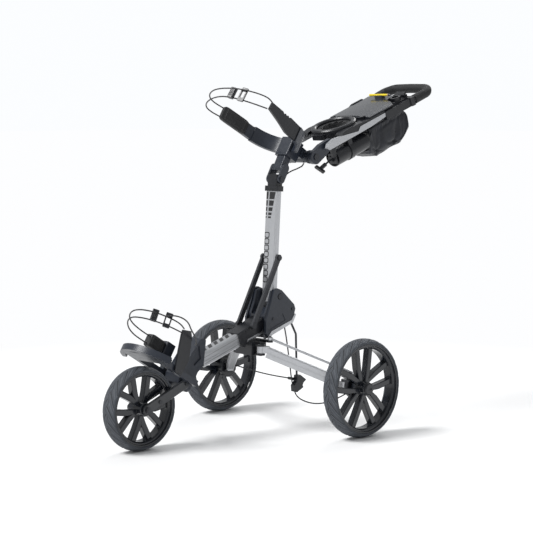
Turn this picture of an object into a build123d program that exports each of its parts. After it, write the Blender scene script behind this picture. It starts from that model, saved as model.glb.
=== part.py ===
from build123d import *
import os
from math import atan2, cos, degrees, hypot, radians, sin, tan

# Three-wheel golf push trolley, millimetres.
# +X is the trolley's left, -Y its front, +Z up. Every place below is measured from the rear axle,
# on the floor; FRAME_SHIFT then moves the whole trolley so that its box is centred on the origin.
os.makedirs("parts", exist_ok=True)

# ---- driving dimensions -------------------------------------------------------------------
FRAME_SHIFT = 68.0            # rear axle to the middle of the whole length
REAR_RADIUS = 146.0           # 11.5 in wheels
FRONT_RADIUS = 120.5          # 9.5 in wheel
TYRE_WIDTH = 52.0
TRACK = 611.0                 # between the rear wheels' middle planes
WHEELBASE = 594.0
BEAD_DEPTH = 14.0             # tyre thickness outside the rim

TUBE_SLOPE = 18.0             # lower tube, degrees above level
TUBE_POINT = (-300.0, 256.0)  # a point (y, z) on its centre line
TUBE_WIDTH = 44.0
TUBE_HEIGHT = 40.0
TUBE_FRONT = -72.0            # ends along the centre line, from TUBE_POINT
TUBE_REAR = 196.0

MAST_PIVOT = (-80.0, 401.0)
MAST_LEAN = 3.6
MAST_WIDTH = 50.0
MAST_DEPTH = 22.0
MAST_TOP = 328.0              # above the pivot, along the mast
STRUT_UP = 116.0              # strut pivot above the mast pivot, along the mast
STRUT_FOOT = (-178.0, 320.0)
NECK_PIVOT_UP = 352.0
NECK_PIVOT_BACK = 4.0
NECK_TOP = (-9.0, 832.0)

BAG_LEAN = 32.0               # the golf bag's axis, degrees from upright
CRADLE_POINT = (-520.0, 235.0)
UPPER_CRADLE = 797.0          # upper cradle's middle plane above the lower platform

HINGE = (50.0, 817.0)         # handle hinge (y, z)
HANDLE_SLOPE = 20.0

LEG_ROOT = (50.0, -165.0, 250.0)
LEG_TIP = (250.0, -10.0, 150.0)
TIE_OFFSET = (12.0, 28.0, 31.0)
SHAFT_GAP = 0.05              # radial clearance of every turning fit

MAST_PIN = 6.0                # radii of pins and axles
STRUT_PIN = 4.0
NECK_PIN = 5.0
HINGE_PIN = 6.0
LEG_PIN = 4.0
REAR_AXLE = 6.0
FRONT_AXLE = 5.0

# ---- working frames -----------------------------------------------------------------------
# Each frame keeps X. Its second direction runs along the part and its third away from it.
TUBE_FRAME = Plane(
    origin=(0, *TUBE_POINT), x_dir=(1, 0, 0),
    z_dir=(0, -sin(radians(TUBE_SLOPE)), cos(radians(TUBE_SLOPE))))
MAST_FRAME = Plane(
    origin=(0, *MAST_PIVOT), x_dir=(1, 0, 0),
    z_dir=(0, sin(radians(MAST_LEAN)), cos(radians(MAST_LEAN))))
BAG_FRAME = Plane(
    origin=(0, *CRADLE_POINT), x_dir=(1, 0, 0),
    z_dir=(0, sin(radians(BAG_LEAN)), cos(radians(BAG_LEAN))))
UPPER_FRAME = BAG_FRAME.offset(UPPER_CRADLE)
HANDLE_FRAME = Plane(
    origin=(0, *HINGE), x_dir=(1, 0, 0),
    z_dir=(0, -sin(radians(HANDLE_SLOPE)), cos(radians(HANDLE_SLOPE))))


def save(name, *solids):
    """Write one sub-part, moved from the rear-axle frame into the trolley's own frame."""
    moved = [Pos(0, FRAME_SHIFT, 0) * solid for solid in solids]
    shape = moved[0] if len(moved) == 1 else Compound(children=moved)
    export_step(shape, f"parts/{name}.step")


def place(frame, *solids):
    """Move solids drawn in a working frame to their place; one solid comes back by itself."""
    moved = [frame.location * solid for solid in solids]
    return moved[0] if len(moved) == 1 else moved


def mirrored(solid):
    """The same piece on the other side of the trolley."""
    return mirror(solid, about=Plane.YZ)


def side_plate(outline, x_from, x_to):
    """Extrude an outline of (y, z) points along X."""
    face = make_face(Polyline(*outline, close=True))
    return extrude(Plane.YZ.offset(x_from) * face, x_to - x_from)


def block(x_range, y_range, z_range, corner=0.0):
    """Box between limits, its upright edges rounded by the corner radius."""
    size = [high - low for low, high in (x_range, y_range, z_range)]
    middle = [(high + low) / 2 for low, high in (x_range, y_range)]
    outline = RectangleRounded(size[0], size[1], corner) if corner else Rectangle(size[0], size[1])
    return Pos(middle[0], middle[1], z_range[0]) * extrude(outline, size[2])


def rod(start, end, radius):
    """Round rod between two points."""
    axis = Vector(*end) - Vector(*start)
    return extrude(Plane(origin=start, z_dir=axis) * Circle(radius), axis.length)


def x_rod(x_from, x_to, y, z, radius):
    """Round rod along X."""
    return rod((x_from, y, z), (x_to, y, z), radius)


def z_rod(x, y, z_from, z_to, radius):
    """Round rod along Z."""
    return rod((x, y, z_from), (x, y, z_to), radius)


def capsule_plate(start, end, radius, x_from, x_to):
    """Flat bar with round ends between two (y, z) points."""
    length = hypot(end[0] - start[0], end[1] - start[1])
    turn = degrees(atan2(end[1] - start[1], end[0] - start[0]))
    middle = ((start[0] + end[0]) / 2, (start[1] + end[1]) / 2)
    bar = Pos(*middle) * Rot(0, 0, turn) * SlotCenterToCenter(length, 2 * radius)
    return extrude(Plane.YZ.offset(x_from) * bar, x_to - x_from)


def cord_tube(points, radius, name):
    """Tube along straight runs joined by tangent arcs, each as large as its two runs allow."""
    spots = [Vector(*point) for point in points]
    runs = [(after - before).length for before, after in zip(spots, spots[1:])]
    radii = []
    for index in range(1, len(spots) - 1):
        turn = (spots[index] - spots[index - 1]).get_angle(spots[index + 1] - spots[index])
        shorter = min(runs[index - 1], runs[index])
        radii.append(0.45 * shorter / tan(radians(turn) / 2))
    path = FilletPolyline(*points, radius=radii)
    tube = sweep(Plane(origin=path @ 0, z_dir=path % 0) * Circle(radius), path=path)
    print(name, "length", round(path.length, 1), "radii", [round(value, 1) for value in radii])
    return tube


# ---- wheels ---------------------------------------------------------------------------------
HUB_RADIUS = 20.0
RIM_DEPTH = 14.0              # barrel thickness inside the tyre
RIM_HALF_WIDTH = 24.0
SPOKE_PAIRS = 5


def make_tyre(radius):
    """Solid tyre with a crowned tread and rounded shoulders."""
    half = TYRE_WIDTH / 2
    bead = radius - BEAD_DEPTH
    crown = ThreePointArc((-half, radius - 9), (0, radius), (half, radius - 9))
    walls = Polyline((half, radius - 9), (half, bead + 3), (half - 3, bead), (3 - half, bead),
                     (-half, bead + 3), (-half, radius - 9))
    return revolve(make_face([crown, walls]), Axis.X)


def make_spokes(rim_inside):
    """Five pairs of kinked spokes, each pair spreading to two near-parallel arms."""
    reach = rim_inside + 4
    knee = 0.52 * rim_inside
    outline = [(4, 14), (12, knee), (20, reach), (38, reach), (30, knee - 3), (15, 12)]
    spokes = []
    for pair in range(SPOKE_PAIRS):
        for side in (1, -1):
            arm = make_face(Polyline(*[(side * across, out) for across, out in outline], close=True))
            bar = extrude(Plane.YZ.offset(-10) * arm, 20)
            bar = chamfer(bar.edges().filter_by(GeomType.LINE).filter_by_position(Axis.X, 9, 11), 2)
            spokes.append(Rot(360 / SPOKE_PAIRS * pair, 0, 0) * bar)
    return spokes


def make_rim(radius, axle_radius, hub_half):
    """Rim, spokes and hub as one moulding, its middle on the origin and its axle along X."""
    bead = radius - BEAD_DEPTH
    inside = bead - RIM_DEPTH
    half = RIM_HALF_WIDTH
    profile = Polyline(
        (-half, bead), (half, bead), (half, bead - 5), (half - 5, bead - 6), (half - 5, bead - 10),
        (half - 10, inside), (10 - half, inside), (5 - half, bead - 10), (5 - half, bead - 6),
        (-half, bead - 5), close=True)
    barrel = revolve(make_face(profile), Axis.X)
    hub = x_rod(-hub_half, hub_half, 0, 0, HUB_RADIUS)
    hub = chamfer(hub.edges().filter_by(GeomType.CIRCLE), 2)
    moulding = barrel + hub + make_spokes(inside)
    return moulding - x_rod(-hub_half - 1, hub_half + 1, 0, 0, axle_radius + SHAFT_GAP)


REAR_HUB_HALF = 26.0
FRONT_HUB_HALF = 28.0


def build_wheels():
    """Two rear wheels and the front one."""
    tyre = make_tyre(REAR_RADIUS)
    rim = make_rim(REAR_RADIUS, REAR_AXLE, REAR_HUB_HALF)
    cap = x_rod(REAR_HUB_HALF, REAR_HUB_HALF + 7, 0, 0, 18)
    cap = chamfer(cap.edges().filter_by_position(Axis.X, REAR_HUB_HALF + 6, REAR_HUB_HALF + 8), 3)
    cap -= Pos(REAR_HUB_HALF + 7, 0, 0) * Box(4, 14, 5)
    hub_place = Pos(TRACK / 2, 0, REAR_RADIUS)
    for side, turn in (("left", lambda solid: solid), ("right", mirrored)):
        save(f"rear_tyre_{side}", turn(hub_place * tyre))
        save(f"rear_rim_{side}", turn(hub_place * rim))
        save(f"hub_cap_{side}", turn(hub_place * cap))
    front_place = Pos(0, -WHEELBASE, FRONT_RADIUS)
    save("front_tyre", front_place * make_tyre(FRONT_RADIUS))
    save("front_rim", front_place * make_rim(FRONT_RADIUS, FRONT_AXLE, FRONT_HUB_HALF))


# ---- front end ------------------------------------------------------------------------------
FORK_INSIDE = 30.0
FORK_THICK = 8.0
FORK_PIVOT = (-450.0, 178.0)
LIP_RADIUS = 110.0
LIP_BACK = -10.0              # lip's centre along the platform


def tube_space(grow=0.0, start=TUBE_FRONT, end=TUBE_REAR):
    """The room that the lower tube fills."""
    solid = block((-TUBE_WIDTH / 2 - grow, TUBE_WIDTH / 2 + grow), (start, end),
                  (-TUBE_HEIGHT / 2 - grow, TUBE_HEIGHT / 2 + grow))
    return place(TUBE_FRAME, solid)


def build_lower_tube():
    """Grooved silver box tube, open at both ends."""
    wall = 3.0
    half_w = TUBE_WIDTH / 2
    half_h = TUBE_HEIGHT / 2
    outer = block((-half_w, half_w), (TUBE_FRONT, TUBE_REAR), (-half_h, half_h))
    outer = chamfer(outer.edges().filter_by(Axis.Y), 4)
    inner = block((wall - half_w, half_w - wall), (TUBE_FRONT - 1, TUBE_REAR + 1),
                  (wall - half_h, half_h - wall))
    tube = outer - inner
    for side in (-1, 1):
        middle = side * half_w
        tube -= block((middle - 1.2, middle + 1.2), (TUBE_FRONT - 1, TUBE_REAR + 1), (-3.5, -1))
    save("lower_tube", place(TUBE_FRAME, tube))


def build_front_bracket():
    """Casting that holds the tube's front end, the fork and the platform."""
    outline = [(-366, 296), (-384, 302), (-402, 286), (-432, 250), (-468, 208), (-474, 184),
               (-462, 160), (-440, 152), (-424, 164), (-398, 206), (-376, 222)]
    casting = side_plate(outline, -FORK_INSIDE, FORK_INSIDE)
    window = [(-392, 284), (-422, 246), (-412, 226), (-386, 244)]
    for side in (-1, 1):
        pocket = side_plate(window, side * FORK_INSIDE - 4, side * FORK_INSIDE + 4)
        casting -= pocket
    casting -= tube_space(0, TUBE_FRONT, 0)
    save("front_bracket", casting)


def build_fork():
    """Two flat fork arms bolted to the casting, and the axle between them."""
    axle_at = (-WHEELBASE, FRONT_RADIUS)
    arms = []
    for side in (1, -1):
        x_from = FORK_INSIDE if side > 0 else -FORK_INSIDE - FORK_THICK
        arm = capsule_plate(FORK_PIVOT, axle_at, 14, x_from, x_from + FORK_THICK)
        arm = chamfer(arm.edges().filter_by_position(
            Axis.X, side * (FORK_INSIDE + FORK_THICK) - 0.5, side * (FORK_INSIDE + FORK_THICK) + 0.5), 2)
        arm -= x_rod(x_from - 1, x_from + FORK_THICK + 1, *axle_at, FRONT_AXLE)
        arms.append(arm)
    save("fork_arms", *arms)
    outside = FORK_INSIDE + FORK_THICK
    axle = x_rod(-outside - 6, outside + 6, *axle_at, FRONT_AXLE)
    for side in (1, -1):
        axle += x_rod(side * outside, side * (outside + 5), *axle_at, 9)
    save("front_axle", axle)


def build_platform():
    """Lower bag rest: a raised front lip on two side bars, with a thin web between them."""
    lip_ring = Circle(LIP_RADIUS) - Circle(LIP_RADIUS - 16)
    lip = Pos(0, LIP_BACK, -8) * extrude(lip_ring, 19)
    lip -= block((-200, 200), (-52, 200), (-60, 60))
    bars = [block((side * 52 - 8, side * 52 + 8), (-96, 108), (-8, 10)) for side in (-1, 1)]
    web = block((-46, 46), (-100, -40), (-8, -4))
    cross = block((-60, 60), (70, 100), (-8, 8))
    holder = block((-88, -56), (42.5, 78), (44, 92), 4)
    holder += block((-66, -48), (60, 78), (5, 50))
    rest = lip + bars + web + cross + holder
    fork_outside = FORK_INSIDE + FORK_THICK
    rest -= block((-fork_outside, fork_outside), (66, 140), (-60, 60))
    rest = place(BAG_FRAME, rest) - x_rod(-fork_outside - 4, fork_outside + 4, *FORK_PIVOT, 6)
    save("bag_platform", rest)


# Each strap is two elastic cords that run from the padded arm round the golf bag's front, through
# a clasp and a square buckle, to the strap arm. Their routes are listed in the cradles' frames.
CORD_RADIUS = 2.0
LOWER_CORD_ROUTES = [
    [(-70, -8, 78), (-71, -30, 77), (-70, -68, 77), (-61, -105, 78), (-43, -136, 81), (-17, -160, 85),
     (12, -174, 90), (36, -170, 96), (54, -152, 102), (66, -130, 106), (78, -104, 109), (84, -76, 111),
     (80, -50, 112), (68, -27, 111)],
    [(-74, -8, 56), (-76, -32, 56), (-79, -66, 57), (-68, -100, 60), (-46, -131, 64), (-18, -156, 68),
     (8, -165, 73), (25, -152, 79), (34, -132, 85), (43, -108, 90), (53, -80, 94), (60, -54, 97),
     (64, -26, 99)],
    [(80, -116, 107), (96, -110, 114), (107, -92, 120), (108, -68, 122), (99, -44, 121), (88, -20, 115),
     (86, 4, 106), (72, 30, 100), (52, 52, 100), (31, 66, 102)],
]
UPPER_CORD_ROUTES = [
    [(-115, -64, 15), (-122, -80, 15), (-131, -102, 15), (-134, -127, 16), (-118, -150, 19),
     (-89, -165, 22), (-55, -171, 24), (-22, -169, 26), (8, -163, 28), (38, -153, 28), (66, -140, 28),
     (90, -124, 27), (102, -108, 25), (99, -91, 22)],
    [(-118, -64, -13), (-127, -80, -13), (-139, -99, -12), (-143, -120, -10), (-128, -139, -7),
     (-100, -154, -4), (-70, -162, -1), (-38, -163, 2), (-8, -154, 3), (20, -142, 3), (47, -125, 3),
     (70, -107, 3), (86, -91, 4)],
]
CLASP_SIZE = (19.0, 14.0, 33.0)
BUCKLE_SIZE = (20.0, 5.0, 44.0)


def strap_clasp(middle, buckle_middle, turn, tilt, cords):
    """Ribbed clasp and square buckle ring, bored for the cords that run through them."""
    width, depth, height = CLASP_SIZE
    clasp = Box(width, depth, height)
    clasp = chamfer(clasp.edges().filter_by(Axis.Z), 3)
    for index in range(3):
        clasp -= Pos(-4 + 4 * index, -depth / 2, 0) * Box(1.6, 2, height - 10)
    width, depth, height = BUCKLE_SIZE
    ring = Box(width, depth, height) - Box(width - 8, depth + 2, height - 22)
    ring = chamfer(ring.edges().filter_by(Axis.Y), 1.5)
    pieces = []
    for piece, spot in ((clasp, middle), (ring, buckle_middle)):
        piece = Pos(*spot) * Rot(0, tilt, turn) * piece
        for cord in cords:
            piece -= cord
        pieces.append(piece)
    return pieces


def build_lower_arms():
    """Padded arm on the right of the bag, the flat strap post on its left, and the strap."""
    cords = []
    for index, route in enumerate(LOWER_CORD_ROUTES):
        cords.append(cord_tube(route, CORD_RADIUS, f"lower cord {index}"))
    pad = block((-88, -58), (-16, 42.5), (48, 88), 7)
    pad = chamfer(pad.edges().group_by(Axis.Z)[-1], 3)
    for cord in cords[:2]:
        pad -= cord
    save("side_pad", place(BAG_FRAME, pad))
    post = side_plate([(6, -6), (34, -6), (38, 44), (14, 104), (2, 118), (-26, 108), (-24, 94)], 60, 67)
    for cord in cords:
        post -= cord
    save("strap_post", place(BAG_FRAME, post))
    save("lower_clasp", *place(BAG_FRAME, *strap_clasp((57, -136, 97), (80, -104, 100), 50, -8, cords)))
    save("lower_cords", *place(BAG_FRAME, *cords))


# ---- rear hub -------------------------------------------------------------------------------
COVER_OUTLINE = [(-106, 424), (-90, 427), (-72, 420), (-19, 373), (-14, 360), (-18, 346), (-31, 328),
                 (-116, 301), (-131, 284), (-139, 292), (-139, 338), (-121, 382)]
COVER_INSIDE = 38.0
COVER_OUTSIDE = 47.0
MAST_ROOM = 26.5              # half the gap that the mast swings in
COLLAR_HALF = 27.0
COLLAR_END = -130.0


def build_hub():
    """Hub block, its two covers, the silver sole under them and the sliding saddle's collar."""
    floor_outline = [(-129, 300), (-129, 348), (-100, 366), (-62, 366), (-30, 356), (-24, 342), (-36, 327)]
    cheek_outline = [(-104, 419), (-91, 421), (-75, 415), (-26, 371), (-22, 358), (-26, 346), (-38, 329),
                     (-112, 306), (-129, 306), (-129, 352), (-115, 384)]
    hub = side_plate(floor_outline, -COVER_INSIDE, COVER_INSIDE)
    for side in (1, -1):
        x_pair = sorted((side * MAST_ROOM, side * COVER_INSIDE))
        hub += side_plate(cheek_outline, *x_pair)
    hub -= tube_space()
    hub -= x_rod(-60, 60, *MAST_PIVOT, MAST_PIN)
    save("hub_block", hub)

    cover = side_plate(COVER_OUTLINE, COVER_INSIDE, COVER_OUTSIDE)
    cover = chamfer(cover.edges().filter_by_position(Axis.X, COVER_OUTSIDE - 0.5, COVER_OUTSIDE + 0.5), 1.5)
    lower_panel = [(-126, 300), (-112, 309), (-58, 328), (-70, 350), (-126, 318)]
    cover -= side_plate(lower_panel, COVER_OUTSIDE - 1.5, COVER_OUTSIDE + 1)
    cover -= x_rod(COVER_OUTSIDE - 3, COVER_OUTSIDE + 1, *MAST_PIVOT, 10)
    cover -= x_rod(0, 60, *MAST_PIVOT, MAST_PIN)
    save("cover_left", cover)
    save("cover_right", mirrored(cover))

    bolt = x_rod(3 - COVER_OUTSIDE, COVER_OUTSIDE - 3, *MAST_PIVOT, MAST_PIN)
    for side in (1, -1):
        bolt += x_rod(side * (COVER_OUTSIDE - 3), side * (COVER_OUTSIDE + 1.5), *MAST_PIVOT, 9)
    screws = [bolt]
    fork_outside = FORK_INSIDE + FORK_THICK
    for side in (1, -1):
        for spot in ((-28, 360), (-110, 336)):
            screws.append(x_rod(side * COVER_OUTSIDE, side * (COVER_OUTSIDE + 2), *spot, 4.5))
        for spot in (FORK_PIVOT, (-548, 138)):
            screws.append(x_rod(side * fork_outside, side * (fork_outside + 3), *spot, 5.5))
    save("frame_bolts", *screws)


def hub_sole():
    """Silver channel that closes the hub from below."""
    outline = [(-131, 283), (-116, 300), (-30.5, 327), (-17.5, 345), (-12, 342), (-26, 318),
               (-112, 289), (-127, 279)]
    return side_plate(outline, -COVER_OUTSIDE, COVER_OUTSIDE) - tube_space()


def build_collar():
    """Saddle collar round the tube, ribbed on its sides."""
    outline = [(-233, 301), (-222, 262), (-206, 258), (-196, 282), (-131, 302), (COLLAR_END, 342)]
    collar = side_plate(outline, -COLLAR_HALF, COLLAR_HALF)
    bevel = collar.edges().filter_by(GeomType.LINE).filter_by_position(Axis.Z, 315, 330)
    collar = chamfer(bevel, 4) if len(bevel) else collar
    collar -= tube_space()
    for side in (1, -1):
        for index in range(5):
            middle = -206 + 14 * index
            pocket = block((side * COLLAR_HALF - 1.5, side * COLLAR_HALF + 1.5), (middle - 3.5, middle + 3.5),
                           (303 + 4.5 * index, 311 + 4.5 * index))
            collar -= pocket
    save("saddle_collar", collar)


# ---- rear legs --------------------------------------------------------------------------------
LUG_RADIUS = 12.0
LUG_HALF = 10.0
PLATE_GAP = 0.4
PLATE = 6.6


def shifted(point, offset):
    """A point moved by an offset."""
    return tuple(value + step for value, step in zip(point, offset))


TIE_ROOT = shifted(LEG_ROOT, TIE_OFFSET)
TIE_TIP = shifted(LEG_TIP, TIE_OFFSET)
TIE_LUG_HALF = 4.0
TIE_LUG_RADIUS = 8.0


def leg_frame(root, tip):
    """Frame at a bar's root, first direction along the bar and second level."""
    along = (Vector(*tip) - Vector(*root)).normalized()
    level = Vector(0, 0, 1).cross(along).normalized()
    return Plane(origin=root, x_dir=along, z_dir=along.cross(level))


def build_leg():
    """Silver box leg with an upright pivot eye at each end."""
    root = Vector(*LEG_ROOT)
    tip = Vector(*LEG_TIP)
    frame = leg_frame(LEG_ROOT, LEG_TIP)
    length = (tip - root).length
    bar = block((22, length - 22), (-10, 10), (-16, 16))
    bar = chamfer(bar.edges().filter_by(Axis.X), 3)
    for side in (1, -1):
        bar -= block((20, length - 20), (side * 10 - 1, side * 10 + 1), (-1.5, 1.5))
    leg = place(frame, bar)
    turn = degrees(atan2(tip.Y - root.Y, tip.X - root.X))
    for spot, direction in ((LEG_ROOT, 0), (LEG_TIP, 180)):
        eye = z_rod(0, 0, -LUG_HALF, LUG_HALF, LUG_RADIUS)
        eye += block((0, 26), (-9, 9), (-LUG_HALF, LUG_HALF))
        leg += Pos(*spot) * Rot(0, 0, turn + direction) * eye
    for x, y, z in (LEG_ROOT, LEG_TIP):
        leg -= z_rod(x, y, z - 20, z + 20, LEG_PIN + SHAFT_GAP)
    save("leg_left", leg)
    save("leg_right", mirrored(leg))


def build_tie():
    """Thin round tie rod above the leg, with a flat eye at each end."""
    tie = rod(TIE_ROOT, TIE_TIP, 3.8)
    for x, y, z in (TIE_ROOT, TIE_TIP):
        tie -= z_rod(x, y, z - 12, z + 12, TIE_LUG_RADIUS)
    for x, y, z in (TIE_ROOT, TIE_TIP):
        tie += z_rod(x, y, z - TIE_LUG_HALF, z + TIE_LUG_HALF, TIE_LUG_RADIUS)
    for x, y, z in (TIE_ROOT, TIE_TIP):
        tie -= z_rod(x, y, z - 12, z + 12, LEG_PIN + SHAFT_GAP)
    save("tie_left", tie)
    save("tie_right", mirrored(tie))


def build_leg_mount():
    """Black block under the tube: two plates round each leg eye and a shelf for each tie rod."""
    x, y, z = LEG_ROOT
    low = z - LUG_HALF - PLATE_GAP
    high = z + LUG_HALF + PLATE_GAP
    shelf_top = TIE_ROOT[2] - TIE_LUG_HALF - PLATE_GAP
    mount = block((-34, 34), (y - 22, y + 38), (low - PLATE, shelf_top))
    for side in (1, -1):
        for bottom, top in ((low - PLATE, low), (high, high + PLATE)):
            mount += z_rod(side * x, y, bottom, top, LUG_RADIUS + 1)
            mount += block(sorted((side * 30, side * x)), (y - 13, y + 13), (bottom, top))
        mount += z_rod(side * TIE_ROOT[0], TIE_ROOT[1], shelf_top - PLATE, shelf_top, TIE_LUG_RADIUS)
        mount += block(sorted((side * 30, side * TIE_ROOT[0])), (TIE_ROOT[1] - 8, TIE_ROOT[1] + 8),
                       (shelf_top - PLATE, shelf_top))
    mount -= tube_space()
    pins = []
    for side in (1, -1):
        pins.append(z_rod(side * x, y, low - PLATE - 2, high + PLATE + 2, LEG_PIN))
        pins.append(z_rod(side * TIE_ROOT[0], TIE_ROOT[1], shelf_top, TIE_ROOT[2] + TIE_LUG_HALF + 3, LEG_PIN))
    for pin in pins:
        mount -= pin
    save("leg_mount", mount, *pins)


# ---- wheel carriers ---------------------------------------------------------------------------
CARRIER_INSIDE = 264.0
CARRIER_OUTSIDE = TRACK / 2 - REAR_HUB_HALF - 0.5


def build_carrier():
    """Wheel carrier: brake housing, two plates round the leg's eye, tie shelf, pins and stub axle."""
    x, y, z = LEG_TIP
    low = z - LUG_HALF - PLATE_GAP
    high = z + LUG_HALF + PLATE_GAP
    shelf_top = TIE_TIP[2] - TIE_LUG_HALF - PLATE_GAP
    carrier = x_rod(CARRIER_INSIDE, CARRIER_OUTSIDE, 0, REAR_RADIUS, 33)
    carrier = chamfer(carrier.edges().filter_by(GeomType.CIRCLE), 2)
    carrier += block((CARRIER_INSIDE, CARRIER_OUTSIDE - 3), (-22, 30), (low - PLATE, shelf_top))
    for bottom, top in ((low - PLATE, low), (high, high + PLATE)):
        carrier += z_rod(x, y, bottom, top, LUG_RADIUS + 1)
        carrier += block((x, CARRIER_INSIDE + 2), (y - 13, y + 13), (bottom, top))
    carrier += z_rod(TIE_TIP[0], TIE_TIP[1], shelf_top - PLATE, shelf_top, TIE_LUG_RADIUS)
    carrier += z_rod(x, y, low - PLATE, high + PLATE, LEG_PIN)
    carrier += z_rod(TIE_TIP[0], TIE_TIP[1], shelf_top - PLATE, TIE_TIP[2] + TIE_LUG_HALF + 3, LEG_PIN)
    carrier += x_rod(CARRIER_INSIDE + 4, TRACK / 2 + REAR_HUB_HALF - 2, 0, REAR_RADIUS, REAR_AXLE)
    save("carrier_left", carrier)
    save("carrier_right", mirrored(carrier))


# ---- brake cables -------------------------------------------------------------------------------
CABLE_RADIUS = 2.0
WIRE_RADIUS = 3.2
YOKE_OUTLINE = [(4, 152), (16, 153), (42, 135), (31, 128), (26, 119), (30, 113), (2, 100), (-8, 103),
                (-10, 122), (2, 134)]
MAIN_CABLE = [(25, -43, 314), (25, -33, 275), (25, -25, 232), (26, -18, 188), (26, -12, 148), (26, -4, 116)]
LEFT_CABLE = [(29, -1, 106), (31, 3, 92), (38, 10, 81), (52, 15, 74.5), (74, 15, 71.5), (102, 12, 72),
              (134, 9, 77), (168, 8, 87), (200, 9, 101), (232, 12, 118), (262.4, 16, 139)]
RIGHT_CABLE = [(26, -4, 141), (-6, -2, 141), (-50, 4, 139.5), (-106, 10, 139.5), (-162, 14, 142),
               (-216, 16, 146.5), (-262.4, 16, 152)]
HANDLE_CABLE = [(10, 58, 797), (10, 50, 788), (11, 28, 781), (14, 2, 775.5), (20, -21, 769), (24, -38, 762)]


def build_brakes():
    """Wire stays behind the hub, the cable yoke they carry, and the three brake cables."""
    yoke_wire = FilletPolyline((30, -24, 327), (30, 4, 279), (30, 8, 146), radius=14)
    mount_wire = FilletPolyline((-20, -50, 316), (-20, -46, 284), (-20, -124, 247), radius=9)
    wires = []
    for path in (yoke_wire, mount_wire):
        wires.append(sweep(Plane(origin=path @ 0, z_dir=path % 0) * Circle(WIRE_RADIUS), path=path))
    cables = []
    for route, label in ((MAIN_CABLE, "main"), (LEFT_CABLE, "left"), (RIGHT_CABLE, "right")):
        cables.append(cord_tube(route, CABLE_RADIUS, f"{label} cable"))
    yoke = side_plate(YOKE_OUTLINE, 22, 38)
    yoke += rod((26, -4, 141), (6, -2.75, 141), 4.5)
    sole = hub_sole()
    for piece in wires + cables:
        yoke -= piece
        sole -= piece
    save("hub_sole", sole)
    save("support_wires", *wires)
    save("brake_yoke", yoke)
    save("brake_cables", *cables)


# ---- mast, struts and neck ------------------------------------------------------------------------
def in_mast(back, up):
    """World (y, z) of a point given behind and above the mast pivot, in the mast's own frame."""
    lean = radians(MAST_LEAN)
    return (MAST_PIVOT[0] + back * cos(lean) + up * sin(lean),
            MAST_PIVOT[1] - back * sin(lean) + up * cos(lean))


STRUT_TOP = in_mast(0, STRUT_UP)
NECK_PIVOT = in_mast(NECK_PIVOT_BACK, NECK_PIVOT_UP)
STRUT_INSIDE = 28.0
STRUT_OUTSIDE = 36.0
CHEEK_INSIDE = 20.5
CHEEK_OUTSIDE = 26.5


def build_mast():
    """Silver mast extrusion, its ribbed top collar and the strut bolts."""
    half_w = MAST_WIDTH / 2
    half_d = MAST_DEPTH / 2
    mast = block((-half_w, half_w), (-half_d, half_d), (-18, MAST_TOP))
    mast = chamfer(mast.edges().filter_by(Axis.Z), 5)
    hollow = block((3 - half_w, half_w - 3), (3 - half_d, half_d - 3), (-19, MAST_TOP + 1))
    mast = place(MAST_FRAME, mast - hollow)
    mast -= x_rod(-40, 40, *MAST_PIVOT, MAST_PIN + SHAFT_GAP)
    save("mast_tube", mast)

    collar = block((-27.5, 27.5), (-13.5, 13.5), (315, 331), 3)
    collar += block((-20, 20), (-11, 16), (326, 366), 4)
    for index in range(2):
        collar -= block((-23, 23), (-14.5, -12.7), (318 + 5 * index, 320.5 + 5 * index))
    room = block((-half_w, half_w), (-half_d, half_d), (300, MAST_TOP))
    collar -= chamfer(room.edges().filter_by(Axis.Z), 5)
    collar = place(MAST_FRAME, collar)
    collar -= x_rod(-40, 40, *NECK_PIVOT, NECK_PIN)
    save("mast_collar", collar)

    bolts = []
    for side in (1, -1):
        bolt = x_rod(side * half_w, side * (STRUT_OUTSIDE + 0.4), *STRUT_TOP, STRUT_PIN)
        bolt += x_rod(side * half_w, side * (STRUT_INSIDE - 0.4), *STRUT_TOP, 8)
        bolt += x_rod(side * (STRUT_OUTSIDE + 0.4), side * (STRUT_OUTSIDE + 4), *STRUT_TOP, 7)
        bolts.append(bolt)
    pin = x_rod(-CHEEK_OUTSIDE - 0.4, CHEEK_OUTSIDE + 0.4, *NECK_PIVOT, NECK_PIN)
    for side in (1, -1):
        pin += x_rod(side * (CHEEK_OUTSIDE + 0.4), side * (CHEEK_OUTSIDE + 3), *NECK_PIVOT, 8)
    save("mast_bolts", *bolts, pin)


def build_struts():
    """Two flat struts that hang on the mast's bolts and run down beside the saddle collar."""
    strut = capsule_plate(STRUT_FOOT, STRUT_TOP, 7.5, STRUT_INSIDE, STRUT_OUTSIDE)
    strut += x_rod(STRUT_INSIDE, STRUT_OUTSIDE, *STRUT_TOP, 10)
    strut += x_rod(STRUT_INSIDE, STRUT_OUTSIDE + 2, *STRUT_FOOT, 9)
    strut -= x_rod(STRUT_INSIDE - 1, STRUT_OUTSIDE + 1, *STRUT_TOP, STRUT_PIN + SHAFT_GAP)
    save("struts", strut, mirrored(strut))


NECK_FRAME = Plane(origin=(0, *NECK_PIVOT), x_dir=(1, 0, 0),
                   z_dir=(0, NECK_TOP[0] - NECK_PIVOT[0], NECK_TOP[1] - NECK_PIVOT[1]))
NECK_LENGTH = hypot(NECK_TOP[0] - NECK_PIVOT[0], NECK_TOP[1] - NECK_PIVOT[1])


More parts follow.
